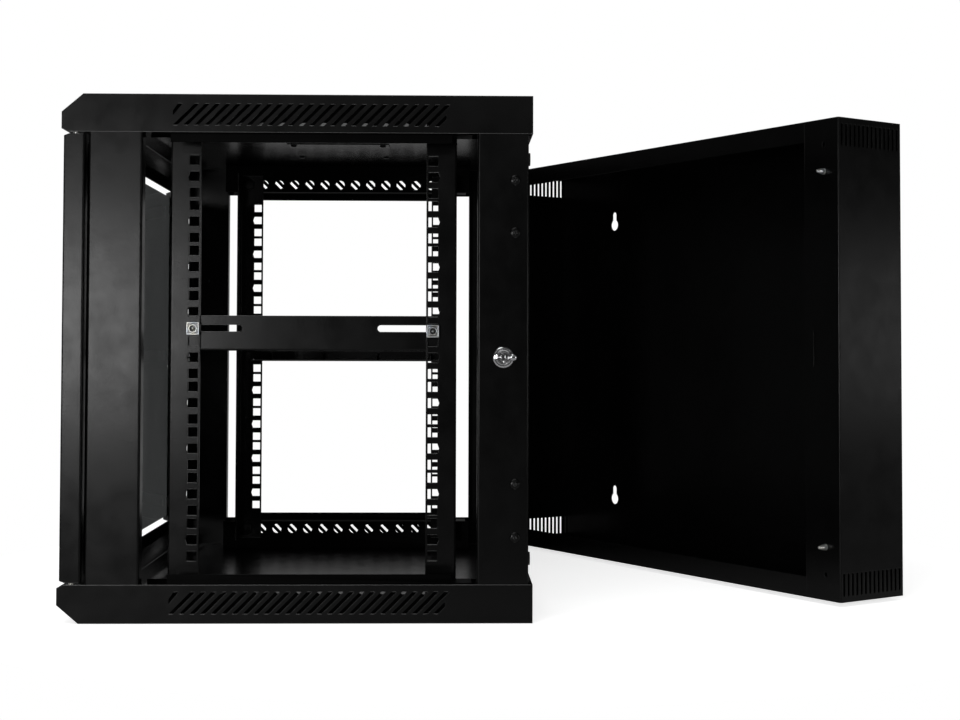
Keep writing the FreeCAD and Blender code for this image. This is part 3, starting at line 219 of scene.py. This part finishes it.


# %% [markdown]
# Black powder coat. Powder melts on the steel and sets in a satin skin with a fine orange
# peel, a few millimetres from crest to crest. The colour hardly changes, so the finish lives
# in its gloss: broad soft reflections, slightly cloudy. Every edge of folded sheet is a
# little round, which a bevel normal adds. The same normal finds each long fold that lies
# level, and a pale grey line is painted along it as a highlight.


# %% Powder coat
FOLD_RADIUS = 0.0009


def powder_coat(name, dark, pale, gloss, peel, edge, shine=0.16):
    """A coat whose gloss is its roughness, with a paler grey painted as a highlight on each fold that lies level.
    """
    recipe = Recipe(name)
    clouds = recipe.noise(9.0, detail=3.0)
    grain = recipe.noise(900.0, detail=2.0)
    tone = recipe.blend(recipe.spread(clouds, 0.35, 0.65, 0, 1), (dark,) * 3, (pale,) * 3)
    rough = recipe.spread(recipe.noise(40.0, detail=4.0), 0.3, 0.7, gloss - 0.03, gloss + 0.04)
    normal = recipe.soft_edges(FOLD_RADIUS)
    fold_highlight = recipe.fold_highlight_share(normal)
    normal = recipe.bumped(recipe.noise(420.0, detail=3.0), peel, 0.0003, normal)
    normal = recipe.bumped(grain, peel * 0.6, 0.0001, normal)
    # A paler grey painted along each fold that lies level stands in for its highlight.
    tone = recipe.blend(fold_highlight, tone, (edge,) * 3)
    return recipe.set(Base_Color=tone, Roughness=rough, Normal=normal, Specular_IOR_Level=shine)


coat = powder_coat("black_powder_coat", 0.0010, 0.0016, 0.23, 0.10, 0.13)
dark_steel = powder_coat("blackened_steel", 0.0012, 0.0022, 0.34, 0.05, 0.012)
# A darker, duller copy of the coat, painted shade for the beams behind the skirts.
shaded_coat = powder_coat("shaded_powder_coat", 0.0008, 0.0012, 0.5, 0.10, 0.0016, 0.03)
print("coats:", coat.name, dark_steel.name, shaded_coat.name)


# %% [markdown]
# Bright zinc. Small hardware is zinc plated: a cool grey metal with a faint yellow and blue
# drift, rubbed by tumbling in the plating drum. The threads and recesses are painted dark as
# shade. The spring steel of the cages takes the plate more thinly, so a share sets how bright it is.


# %% Zinc plate
SMALL_EDGE = 0.0004


def zinc_plate(name, share):
    recipe = Recipe(name)
    drift = recipe.noise(160.0, detail=3.0)
    warm = tuple(part * share for part in (0.62, 0.60, 0.54))
    cool = tuple(part * share for part in (0.56, 0.60, 0.66))
    tone = recipe.blend(recipe.spread(drift, 0.35, 0.65, 0, 1), warm, cool)
    # Threads, bores and recesses are painted near-black as shade.
    tone = recipe.blend(recipe.recess_shade(0.004), (0.015, 0.015, 0.014), tone)
    scuff = recipe.noise(1.0, detail=6.0, roughness=0.7, at=recipe.stretched(2600, 900, 2600))
    rough = recipe.spread(scuff, 0.3, 0.7, 0.22, 0.42)
    normal = recipe.bumped(scuff, 0.15, 0.0002, recipe.soft_edges(SMALL_EDGE))
    return recipe.set(Base_Color=tone, Roughness=rough, Normal=normal, Metallic=1.0)


zinc = zinc_plate("zinc_plate", 1.2)
cage_zinc = zinc_plate("cage_zinc", 0.72)
print("zinc:", zinc.name, cage_zinc.name)

# %% [markdown]
# Smoked glass. The door's pane is toughened glass with a dark grey tint that has a trace of
# green. It hides the cables and still lets the lamps of the equipment be read through it. A
# faint film of handling makes its gloss uneven.


# %% Smoked glass
def smoked_glass(name):
    recipe = Recipe(name)
    film = recipe.noise(14.0, detail=4.0)
    rough = recipe.spread(film, 0.3, 0.7, 0.01, 0.05)
    tone = recipe.blend(recipe.spread(film, 0.4, 0.6, 0, 1), (0.068, 0.071, 0.071), (0.076, 0.079, 0.079))
    return recipe.set(Base_Color=tone, Roughness=rough, Transmission_Weight=1.0, IOR=1.5)


glass = smoked_glass("smoked_glass")
print("glass:", glass.name)

# %% [markdown]
# Black nylon and lock plate. Clips, bushes and hinge blocks are moulded nylon with a dull
# spark-eroded skin. The lock is turned, polished and plated with nickel, so its face mirrors
# the room, and its grooves are painted dark as shade.


# %% Nylon and lock plate
def moulded_nylon(name):
    recipe = Recipe(name)
    skin = recipe.noise(1500.0, detail=3.0)
    tone = recipe.blend(recipe.spread(recipe.noise(60.0), 0.35, 0.65, 0, 1), (0.012,) * 3, (0.017,) * 3)
    rough = recipe.spread(skin, 0.3, 0.7, 0.5, 0.68)
    normal = recipe.bumped(skin, 0.35, 0.0002, recipe.soft_edges(SMALL_EDGE))
    return recipe.set(Base_Color=tone, Roughness=rough, Normal=normal, Specular_IOR_Level=0.4)


def lock_plate(name):
    recipe = Recipe(name)
    worn = recipe.noise(900.0, detail=4.0)
    tone = recipe.blend(recipe.spread(worn, 0.35, 0.65, 0, 1), (0.40, 0.40, 0.41), (0.50, 0.50, 0.51))
    # The grooves and the keyway are painted near-black as shade.
    tone = recipe.blend(recipe.recess_shade(0.003), (0.01, 0.01, 0.01), tone)
    rough = recipe.spread(worn, 0.3, 0.7, 0.07, 0.13)
    normal = recipe.bumped(recipe.noise(2400.0), 0.12, 0.0001, recipe.soft_edges(SMALL_EDGE))
    return recipe.set(Base_Color=tone, Roughness=rough, Normal=normal, Metallic=1.0)


nylon = moulded_nylon("moulded_nylon")
plate = lock_plate("lock_plate")
print("mouldings and locks:", nylon.name, plate.name)

# %% [markdown]
# Each node of the frame has one finish, the one that the record names for it.

# %% Finish every node of the frame
FINISHES = {"black_steel": coat, "zinc": zinc, "lock_chrome": plate, "smoked_glass": glass, "black_plastic": nylon}
for part in frame["record"]["subparts"]:
    mesh = nodes[part["node"]].data
    mesh.materials.clear()
    mesh.materials.append(FINISHES[part["material_slot"]])
print("finished nodes:", len(nodes))

# %% [markdown]
# Small turned parts. A screw head, a lock face and a guide pin all come off a lathe, so one
# helper turns them. It starts from a circle, extrudes it ring by ring along the spindle, and
# scales each ring to the next diameter. The finished shape is then laid at its place, with
# that place kept in its mesh. What repeats is turned once and copied.


# %% Turning
def take(piece):
    """Select one piece alone and make it the active one."""
    bpy.ops.object.select_all(action="DESELECT")
    piece.select_set(True)
    bpy.context.view_layer.objects.active = piece


def turned(name, rings, sides=48):
    """A closed shape of (radius, height) rings in millimetres, turned about Z."""
    bpy.ops.object.select_all(action="DESELECT")
    radius, height = rings[0]
    bpy.ops.mesh.primitive_circle_add(vertices=sides, radius=radius * MM, fill_type="NGON", location=(0, 0, 0))
    piece = bpy.context.object
    piece.name = name
    bpy.ops.object.mode_set(mode="EDIT")
    bpy.ops.mesh.select_all(action="SELECT")
    bpy.ops.transform.translate(value=(0, 0, height * MM))
    for next_radius, next_height in rings[1:]:
        bpy.ops.mesh.extrude_region_move(TRANSFORM_OT_translate={"value": (0, 0, (next_height - height) * MM)})
        share = next_radius / radius
        bpy.ops.transform.resize(value=(share, share, 1), center_override=(0, 0, next_height * MM))
        radius, height = next_radius, next_height
    bpy.ops.mesh.select_all(action="SELECT")
    bpy.ops.mesh.normals_make_consistent(inside=False)
    bpy.ops.object.mode_set(mode="OBJECT")
    return piece


# %% [markdown]
# Placing and joining. A Blender object can carry a place of its own, but the finished piece
# keeps its place in its mesh, so each copy is moved and its move is then applied.


# %% Placing and joining
def laid(piece, spot, axis):
    """Turn a piece's Z to an axis, move it to a spot in millimetres, and apply both."""
    turn = Vector(axis).to_track_quat("Z", "Y").to_matrix().to_4x4()
    piece.matrix_world = Matrix.Translation(Vector(spot) * MM) @ turn
    take(piece)
    bpy.ops.object.transform_apply(location=True, rotation=True, scale=True)
    return piece


def copied(piece, name):
    """A copy with its own mesh."""
    twin = bpy.data.objects.new(name, piece.data.copy())
    bpy.context.scene.collection.objects.link(twin)
    return twin


def set_out(model, places):
    """Lay one copy of a model at each (spot, axis), and drop the model."""
    copies = [laid(copied(model, model.name + "_copy"), spot, axis) for spot, axis in places]
    bpy.data.objects.remove(model)
    return copies


def one_piece(name, parts):
    """Join parts into one object whose flat faces stay flat and whose round ones are smooth."""
    take(parts[0])
    for part in parts:
        part.select_set(True)
    bpy.ops.object.join()
    parts[0].name = name
    bpy.ops.object.shade_smooth_by_angle(angle=math.radians(35))
    return parts[0]


def fitted(piece, node, body, finish):
    """Give a piece its finish, hide the node that it stands for, and hang it on the body that carries it."""
    piece.data.materials.clear()
    piece.data.materials.append(finish)
    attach(piece, body)
    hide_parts(node)
    print(piece.name, "has", len(piece.data.polygons), "faces")


# %% [markdown]
# Blocks and recesses. A square part starts as a cube that is scaled to size in edit mode. A
# driver's cross or a lock's keyway is cut with such a block too: its far end is drawn in as a
# punch is, and a boolean modifier takes it away from the head.


# %% Blocks and cutting
def block(name, size, centre):
    """A rectangular block, in millimetres."""
    bpy.ops.object.select_all(action="DESELECT")
    bpy.ops.mesh.primitive_cube_add(size=MM, location=(0, 0, 0))
    piece = bpy.context.object
    piece.name = name
    bpy.ops.object.mode_set(mode="EDIT")
    bpy.ops.transform.resize(value=size)
    bpy.ops.transform.translate(value=tuple(Vector(centre) * MM))
    bpy.ops.object.mode_set(mode="OBJECT")
    return piece


def select_faces(piece, test):
    """Enter edit mode with only the faces that pass a test selected."""
    take(piece)
    bpy.ops.object.mode_set(mode="EDIT")
    bpy.ops.mesh.select_mode(type="FACE")
    bpy.ops.mesh.select_all(action="DESELECT")
    mesh = bmesh.from_edit_mesh(piece.data)
    for face in mesh.faces:
        face.select_set(test(face))
    bmesh.update_edit_mesh(piece.data)


def applied(piece, kind, **settings):
    """Add one modifier, set it and apply it."""
    take(piece)
    modifier = piece.modifiers.new(kind.lower(), kind)
    for key, value in settings.items():
        setattr(modifier, key, value)
    bpy.ops.object.modifier_apply(modifier=modifier.name)


def cut_away(piece, cutter):
    """Take a cutter away from a piece, and drop the cutter."""
    applied(piece, "BOOLEAN", operation="DIFFERENCE", object=cutter)
    bpy.data.objects.remove(cutter)


def punched(piece, across, along, top, depth, end_share=0.6):
    """Cut a tapered slot of across by along from the face at height top."""
    bar = block("bar", (across, along, depth + 1), (0, 0, top - (depth - 1) / 2))
    select_faces(bar, lambda face: face.normal.z < -0.9)
    bpy.ops.transform.resize(value=(end_share, end_share, 1))
    bpy.ops.object.mode_set(mode="OBJECT")
    cut_away(piece, bar)


def cross_punched(piece, narrow, wide, top, depth):
    """Cut a driver's cross."""
    punched(piece, narrow, wide, top, depth)
    punched(piece, wide, narrow, top, depth)


# %% [markdown]
# Screws of the rear posts. Four on each post hold the side panels' catches. Their heads are
# low domes of black steel, with a cross recess that catches one bright spark.

# %% Rear post screws
POST_FACE = 298.8
POST_SCREW_LINE = 207.9
POST_SCREW_HEIGHTS = (81.0, 131.5, 371.5, 422.0)
post_screw = turned("post_screw", [(5.0, 0), (5.0, 0.3), (4.8, 0.8), (4.2, 1.25), (3.2, 1.6), (1.8, 1.8)])
cross_punched(post_screw, 1.2, 4.8, 1.8, 1.2)
places = [((side * POST_FACE, POST_SCREW_LINE, height), (side, 0, 0))
          for side in (-1, 1) for height in POST_SCREW_HEIGHTS]
post_screws = one_piece("rear_post_screw_set", set_out(post_screw, places))
fitted(post_screws, "rear_post_screws", "main_section", coat)

# %% [markdown]
# Screws of the fan plates. Their pan heads hang under the roof, and their tips end flush
# with its top.

# %% Fan plate screws
ROOF_TOP = 503.0
FAN_SCREWS_ACROSS = (-151.5, -46.5, 46.5, 151.5)
FAN_SCREW_LINES = (-38.5, 66.5)
fan_screw = turned("fan_screw", [(1.7, 0), (2.0, 0.3), (2.0, 2.4), (3.5, 2.4), (3.5, 3.0), (3.2, 3.8), (2.6, 4.3),
                                 (1.4, 4.6)], 32)
cross_punched(fan_screw, 0.8, 3.4, 4.6, 1.0)
places = [((across, back, ROOF_TOP), (0, 0, -1)) for across in FAN_SCREWS_ACROSS for back in FAN_SCREW_LINES]
fan_screws = one_piece("fan_plate_screw_set", set_out(fan_screw, places))
fitted(fan_screws, "fan_plate_screws", "main_section", dark_steel)

# %% [markdown]
# Bolts of the rails. A hexagon head is a six-sided turning whose corners are taken off by a
# last, smaller ring. The bolts are blackened, so they show only as a glint on the far side.

# %% Rail bolts
BOLT_TIP = 262.1
BOLT_LINES = (-118.2, 141.8)
BOLT_HEIGHTS = (26.5, 476.5)
bolt_shank = turned("rail_bolt_shank", [(3.4, 0), (4.0, 0.6), (4.0, 8.5)], 32)
bolt_head = turned("rail_bolt_head", [(8.0, 8.5), (8.0, 11.6), (7.4, 12.1), (6.6, 12.5)], 6)
rail_bolt = one_piece("rail_bolt", [bolt_shank, bolt_head])
places = [((side * BOLT_TIP, back, height), (-side, 0, 0))
          for side in (-1, 1) for back in BOLT_LINES for height in BOLT_HEIGHTS]
rail_bolts = one_piece("rail_bolt_set", set_out(rail_bolt, places))
fitted(rail_bolts, "rail_bolts", "main_section", dark_steel)

# %% [markdown]
# Cage nuts. A square nut sits loose in a cage of spring steel that snaps into a square hole.
# The cage starts as a block. Its face is inset and sunk, so that a rim of folded spring stands
# round the nut, and its edges are bevelled. The nut's thread is a round boss with a bore. A
# nut that is loose in its cage never sits quite in the middle, so each drops a little.

# %% Cage nuts
RAIL_FACE = 255.6
NUT_HEIGHTS = {-1: 267.4, 1: 280.1}
NUT_DROPS = {-105.4: 0.5, 129.1: 2.6}
cage = block("cage", (12.2, 12.2, 4.4), (0, 0, 2.2))
select_faces(cage, lambda face: face.normal.z > 0.9)
for width, sink in ((1.1, 0), (0.3, -0.7), (0.5, 0), (0.4, 0.5)):
    bpy.ops.mesh.inset(thickness=width * MM, depth=sink * MM)
bpy.ops.object.mode_set(mode="OBJECT")
applied(cage, "BEVEL", width=0.45 * MM, segments=3)
cut_away(cage, turned("bore", [(3.0, 0.6), (3.0, 6.0)], 40))
boss = turned("boss", [(3.1, 0.5), (3.1, 3.4), (4.3, 3.4), (4.3, 4.4), (4.0, 4.8), (3.3, 4.8), (2.9, 4.4),
                       (2.9, 1.0)], 40)
cage = one_piece("cage", [cage, boss])
places = [((side * RAIL_FACE, back, NUT_HEIGHTS[side] - drop), (side, 0, 0))
          for side in (-1, 1) for back, drop in NUT_DROPS.items()]
cages = one_piece("cage_nut_set", set_out(cage, places))
fitted(cages, "cage_nuts", "main_section", cage_zinc)

# %% [markdown]
# Cage nut screws. Pan heads with a deep cross press on the inside of the rail, and a thin
# pilot point stands in the middle of each nut's bore.

# %% Cage nut screws
SCREW_TIP = 260.2
cage_screw = turned("cage_screw", [(0.6, 0), (1.0, 0.3), (1.2, 0.9), (1.2, 3.4), (2.7, 4.4), (2.7, 8.1), (6.0, 8.1),
                                   (6.0, 9.4), (5.7, 10.3), (4.9, 11.2), (4.0, 11.6)])
cross_punched(cage_screw, 1.2, 5.6, 11.6, 1.8)
places = [((side * SCREW_TIP, back, NUT_HEIGHTS[side] - drop), (-side, 0, 0))
          for side in (-1, 1) for back, drop in NUT_DROPS.items()]
cage_screws = one_piece("cage_screw_set", set_out(cage_screw, places))
fitted(cage_screws, "cage_screws", "main_section", cage_zinc)

# %% [markdown]
# Cam locks. One holds the two sections together and one holds the door. Each has a turned
# collar with a groove and a small tab for the thumb, and a plug with a keyway between bright
# jaws. The rings of the faces lean outward a little, so that each mirrors some other part of
# the room. Both locks are the same part, so the collar and the plug are made once.

# %% Lock collar and plug
collar = turned("collar", [(8.4, -30.0), (8.5, -29.6), (8.5, 0), (10.0, 0), (10.0, 0.8), (9.5, 1.3), (8.4, 1.55),
                           (8.1, 1.2), (7.7, 1.2), (7.4, 1.8), (6.4, 2.0), (6.1, 1.8), (6.1, 0.4)], 72)
tab = turned("tab", [(3.6, 0), (3.6, 0.9), (3.2, 1.7), (2.4, 2.3), (1.3, 2.6), (0.5, 2.65)], 40)
tab.data.transform(Matrix.Translation((9.4 * MM, 0, 0)))
collar = one_piece("collar", [collar, tab])
plug = turned("plug", [(5.9, -30.0), (5.9, 1.5), (5.6, 1.9), (5.0, 1.9), (4.7, 1.5), (4.3, 1.5), (4.0, 1.9),
                       (1.5, 2.1)], 72)
punched(plug, 1.7, 6.4, 2.1, 4.0, 0.8)
punched(plug, 3.0, 2.2, 2.1, 2.4, 0.7)
jaws = []
for across, along in ((-2.0, 0.3), (2.0, 0.3), (0.6, -4.2)):
    jaw = turned("jaw", [(1.1, 1.2), (1.1, 2.0), (0.8, 2.5), (0.3, 2.7)], 24)
    jaw.data.transform(Matrix.Translation((across * MM, along * MM, 0)) @ Matrix.Diagonal((1, 1.5, 1, 1)))
    jaws.append(jaw)
plug = one_piece("plug", [plug] + jaws)


# %% [markdown]
# Both locks. The collar stays with the sheet that the lock is mounted in, and the plug rides
# with the lock's own body, so that it turns with the key.


# %% Both locks
LOCK_HEIGHT = 252.2


def lock_fitted(name, spot, axis, holder):
    """A collar that rides with the holder and a plug that turns on its own body."""
    collar_copy = one_piece(name + "_collar", [laid(copied(collar, "collar_copy"), spot, axis)])
    plug_copy = one_piece(name + "_face", [laid(copied(plug, "plug_copy"), spot, axis)])
    fitted(collar_copy, name + "_barrel", holder, plate)
    fitted(plug_copy, name + "_plug", name, plate)


lock_fitted("section_lock", (298.6, 196.8, LOCK_HEIGHT), (1, 0, 0), "main_section")
lock_fitted("door_lock", (-262.0, -223.3, LOCK_HEIGHT), (0, -1, 0), "front_door")
for model in (collar, plug):
    bpy.data.objects.remove(model)

# %% [markdown]
# Guide pins. Two pins on the wall section's rim steer the main section home. Each is turned
# with a thin foot, a straight stem and a long cone that ends in a small flat. They point
# straight out of the rim, which stands open by 32.1 degrees.

# %% Guide pins
OPEN_ANGLE = math.radians(32.1)
RIM_OUT = (math.sin(OPEN_ANGLE), -math.cos(OPEN_ANGLE), 0)
PIN_HEIGHTS = (58.5, 444.5)
guide_pin = turned("guide_pin", [(3.3, 0), (3.3, 0.9), (3.0, 1.3), (3.0, 3.8), (2.8, 4.4), (2.1, 7.4), (1.5, 9.3),
                                 (0.9, 10.0)], 40)
places = [((192.4, 531.3, height), RIM_OUT) for height in PIN_HEIGHTS]
pins = one_piece("guide_pin_pair", set_out(guide_pin, places))
fitted(pins, "guide_pins", "wall_section", zinc)

# %% [markdown]
# Pane of the door. Toughened glass with ground and polished edges, which glow where the
# light of the room runs along the sheet. It stops a finger's width short of the covers.

# %% Door pane
MIDDLE = 251.5
PANE_SIZE = (479.2, 5.0, 413.0)
GRINDING = 0.8
pane = block("door_pane", PANE_SIZE, (0, -221.0, MIDDLE))
applied(pane, "BEVEL", width=GRINDING * MM, segments=2)
fitted(one_piece("door_pane", [pane]), "door_glass", "front_door", glass)

# %% [markdown]
# Beams. The solid's beams stand a hair too low under the covers, and light slips over them.
# Each beam is copied, its loose triangles are merged, and its ledge is raised to touch the
# skirt's edge. Behind the skirts the beams take a darker, duller copy of the coat, whose darker colour is painted
# shade.

# %% Side beams
LEDGE_INSIDE = 212.3
LEDGE_OUTSIDE = 213.8
LEDGE_SLACK = 0.2
LEDGE_RISE = 3.3


def beam_pressing(node, upward):
    """Copy a beam of the frame and move its ledge towards the cover."""
    beam = copied(nodes[node], node + "_pressing")
    take(beam)
    bpy.ops.object.mode_set(mode="EDIT")
    bpy.ops.mesh.select_mode(type="VERT")
    bpy.ops.mesh.select_all(action="SELECT")
    bpy.ops.mesh.remove_doubles(threshold=0.01 * MM)
    bpy.ops.mesh.select_all(action="DESELECT")
    mesh = bmesh.from_edit_mesh(beam.data)
    for point in mesh.verts:
        from_middle = abs(point.co.z / MM - MIDDLE)
        if LEDGE_INSIDE - LEDGE_SLACK < from_middle < LEDGE_OUTSIDE + LEDGE_SLACK:
            point.select_set(True)
    bmesh.update_edit_mesh(beam.data)
    bpy.ops.transform.translate(value=(0, 0, upward * LEDGE_RISE * MM))
    bpy.ops.object.mode_set(mode="OBJECT")
    fitted(one_piece(beam.name, [beam]), node, "main_section", shaded_coat)


for end, upward in (("top", 1), ("bottom", -1)):
    for side in ("left", "right"):
        beam_pressing(f"{end}_beam_{side}", upward)

# %% [markdown]
# The studio. The cabinet stands on a round sheet of white paper, in front of a white wall.
# Both read as pure white, except where the cabinet's own shadow falls on the paper. Black
# gloss shows what stands around it, so the room matters as much as the paint: the wall
# behind the cabinet mirrors white, and the side of the room where the camera stands is dim.


# %% Paper floor
def paper(name, colour, glow):
    """Paper that glows for the camera and through glass, and is plain paper for all else."""
    recipe = Recipe(name)
    mottle = recipe.noise(3.0, detail=3.0)
    tone = recipe.blend(recipe.spread(mottle, 0.3, 0.7, 0, 1), (colour * 0.98,) * 3, (colour,) * 3)
    recipe.set(Base_Color=tone, Roughness=0.9, Specular_IOR_Level=0.1)
    ray = recipe.tree.nodes.new("ShaderNodeLightPath")
    seen = recipe.combine("MAXIMUM", ray.outputs["Is Camera Ray"], ray.outputs["Is Transmission Ray"])
    glow_node = recipe.add("ShaderNodeEmission", Strength=glow)
    both = recipe.tree.nodes.new("ShaderNodeAddShader")
    lit = recipe.tree.nodes.new("ShaderNodeMixShader")
    recipe.link(seen, lit.inputs[0])
    recipe.link(recipe.shader.outputs[0], lit.inputs[1])
    recipe.link(recipe.shader.outputs[0], both.inputs[0])
    recipe.link(glow_node.outputs[0], both.inputs[1])
    recipe.link(both.outputs[0], lit.inputs[2])
    recipe.link(lit.outputs[0], recipe.output.inputs["Surface"])
    return recipe.material


FLOOR_RADIUS = 0.64
bpy.ops.object.select_all(action="DESELECT")
bpy.ops.mesh.primitive_circle_add(vertices=96, radius=FLOOR_RADIUS, fill_type="NGON", location=(0, 0.2, -0.0005))
floor = bpy.context.object
floor.name = "floor"
floor.data.materials.append(paper("paper", 0.8, 0.75))
print("paper floor, radius", FLOOR_RADIUS, "m")


# %% [markdown]
# The room is the world's colour. The camera and glass see white all round. A mirror sees
# white only where it faces the wall behind the cabinet, pale grey below, where the paper runs
# on, and dim grey elsewhere. What falls on dull surfaces is one even, soft light.


# %% Room
ROOM_LIGHT = 0.35
ROOM_DIM = 0.06
ROOM_WALL = 0.35
ROOM_FLOOR = 0.45
world = bpy.data.worlds.new("studio")
bpy.context.scene.world = world
world.use_nodes = True
sky = world.node_tree
sky.nodes.clear()
sky_out = sky.nodes.new("ShaderNodeOutputWorld")
sky_ray = sky.nodes.new("ShaderNodeLightPath")
sky_place = sky.nodes.new("ShaderNodeTexCoord")
sky_split = sky.nodes.new("ShaderNodeSeparateXYZ")
sky.links.new(sky_place.outputs["Generated"], sky_split.inputs[0])


def brightening(axis, start, full, dim, bright):
    """Go softly from dim to bright as the view turns along one axis."""
    ramp = sky.nodes.new("ShaderNodeMapRange")
    ramp.interpolation_type = "SMOOTHSTEP"
    sky.links.new(sky_split.outputs[axis], ramp.inputs["Value"])
    for key, number in (("From Min", start), ("From Max", full), ("To Min", dim), ("To Max", bright)):
        ramp.inputs[key].default_value = number
    return ramp.outputs[0]


def room_share(strength, ray_name, below):
    """Show one strength to one kind of ray, and what lies below to the others."""
    shown = sky.nodes.new("ShaderNodeBackground")
    shown.inputs["Color"].default_value = (1, 1, 1, 1)
    if isinstance(strength, bpy.types.NodeSocket):
        sky.links.new(strength, shown.inputs["Strength"])
    else:
        shown.inputs["Strength"].default_value = strength
    if ray_name is None:
        return shown.outputs[0]
    mix = sky.nodes.new("ShaderNodeMixShader")
    sky.links.new(sky_ray.outputs[ray_name], mix.inputs[0])
    sky.links.new(below, mix.inputs[1])
    sky.links.new(shown.outputs[0], mix.inputs[2])
    return mix.outputs[0]


room = room_share(ROOM_LIGHT, None, None)
sky_most = sky.nodes.new("ShaderNodeMath")
sky_most.operation = "MAXIMUM"
sky.links.new(brightening("X", -0.35, -0.8, ROOM_DIM, ROOM_WALL), sky_most.inputs[0])
sky.links.new(brightening("Z", -0.06, -0.2, 0.0, ROOM_FLOOR), sky_most.inputs[1])
room = room_share(sky_most.outputs[0], "Is Glossy Ray", room)
room = room_share(1.0, "Is Transmission Ray", room)
room = room_share(1.0, "Is Camera Ray", room)
sky.links.new(room, sky_out.inputs["Surface"])
print("room: even light", ROOM_LIGHT, "mirrored wall", ROOM_WALL, "mirrored floor", ROOM_FLOOR)


# %% [markdown]
# Soft lamps. A large key hangs above and to the front. Two low boxes stand at the cabinet's
# own height, and their reflections are the bright bands down the front post and down the
# outer wall of the wall section. A long strip above draws arcs on the locks, and a small box
# in the corner of the room lights the guide pins.


# %% Lamps
def soft_lamp(name, place, target, size, watts):
    """A rectangular lamp that faces a target."""
    data = bpy.data.lights.new(name, "AREA")
    data.shape = "RECTANGLE"
    data.size, data.size_y = size
    data.energy = watts
    lamp = bpy.data.objects.new(name, data)
    bpy.context.scene.collection.objects.link(lamp)
    lamp.location = place
    lamp.rotation_euler = (Vector(target) - Vector(place)).to_track_quat("-Z", "Y").to_euler()


CENTRE = (0.0, 0.1, 0.25)
for name, place, target, size, watts in (
    ("key", (1.5, -0.6, 2.6), CENTRE, (1.4, 1.4), 22),
    ("front_box", (2.4, -0.92, 0.33), (0.3, -0.2, 0.27), (0.85, 0.42), 18),
    ("rear_box", (0.62, 2.94, 0.31), (0.2, 0.55, 0.27), (0.85, 0.4), 1.5),
    ("top_strip", (2.4, 0.1, 1.15), (0.3, 0.0, 0.4), (2.6, 0.6), 3),
    ("corner_box", (2.2, 2.4, 0.35), (0.2, 0.53, 0.27), (0.5, 0.5), 6),
):
    soft_lamp(name, place, target, size, watts)
    print("lamp", name, "gives", watts, "W")

bpy.context.scene.view_settings.view_transform = "Standard"
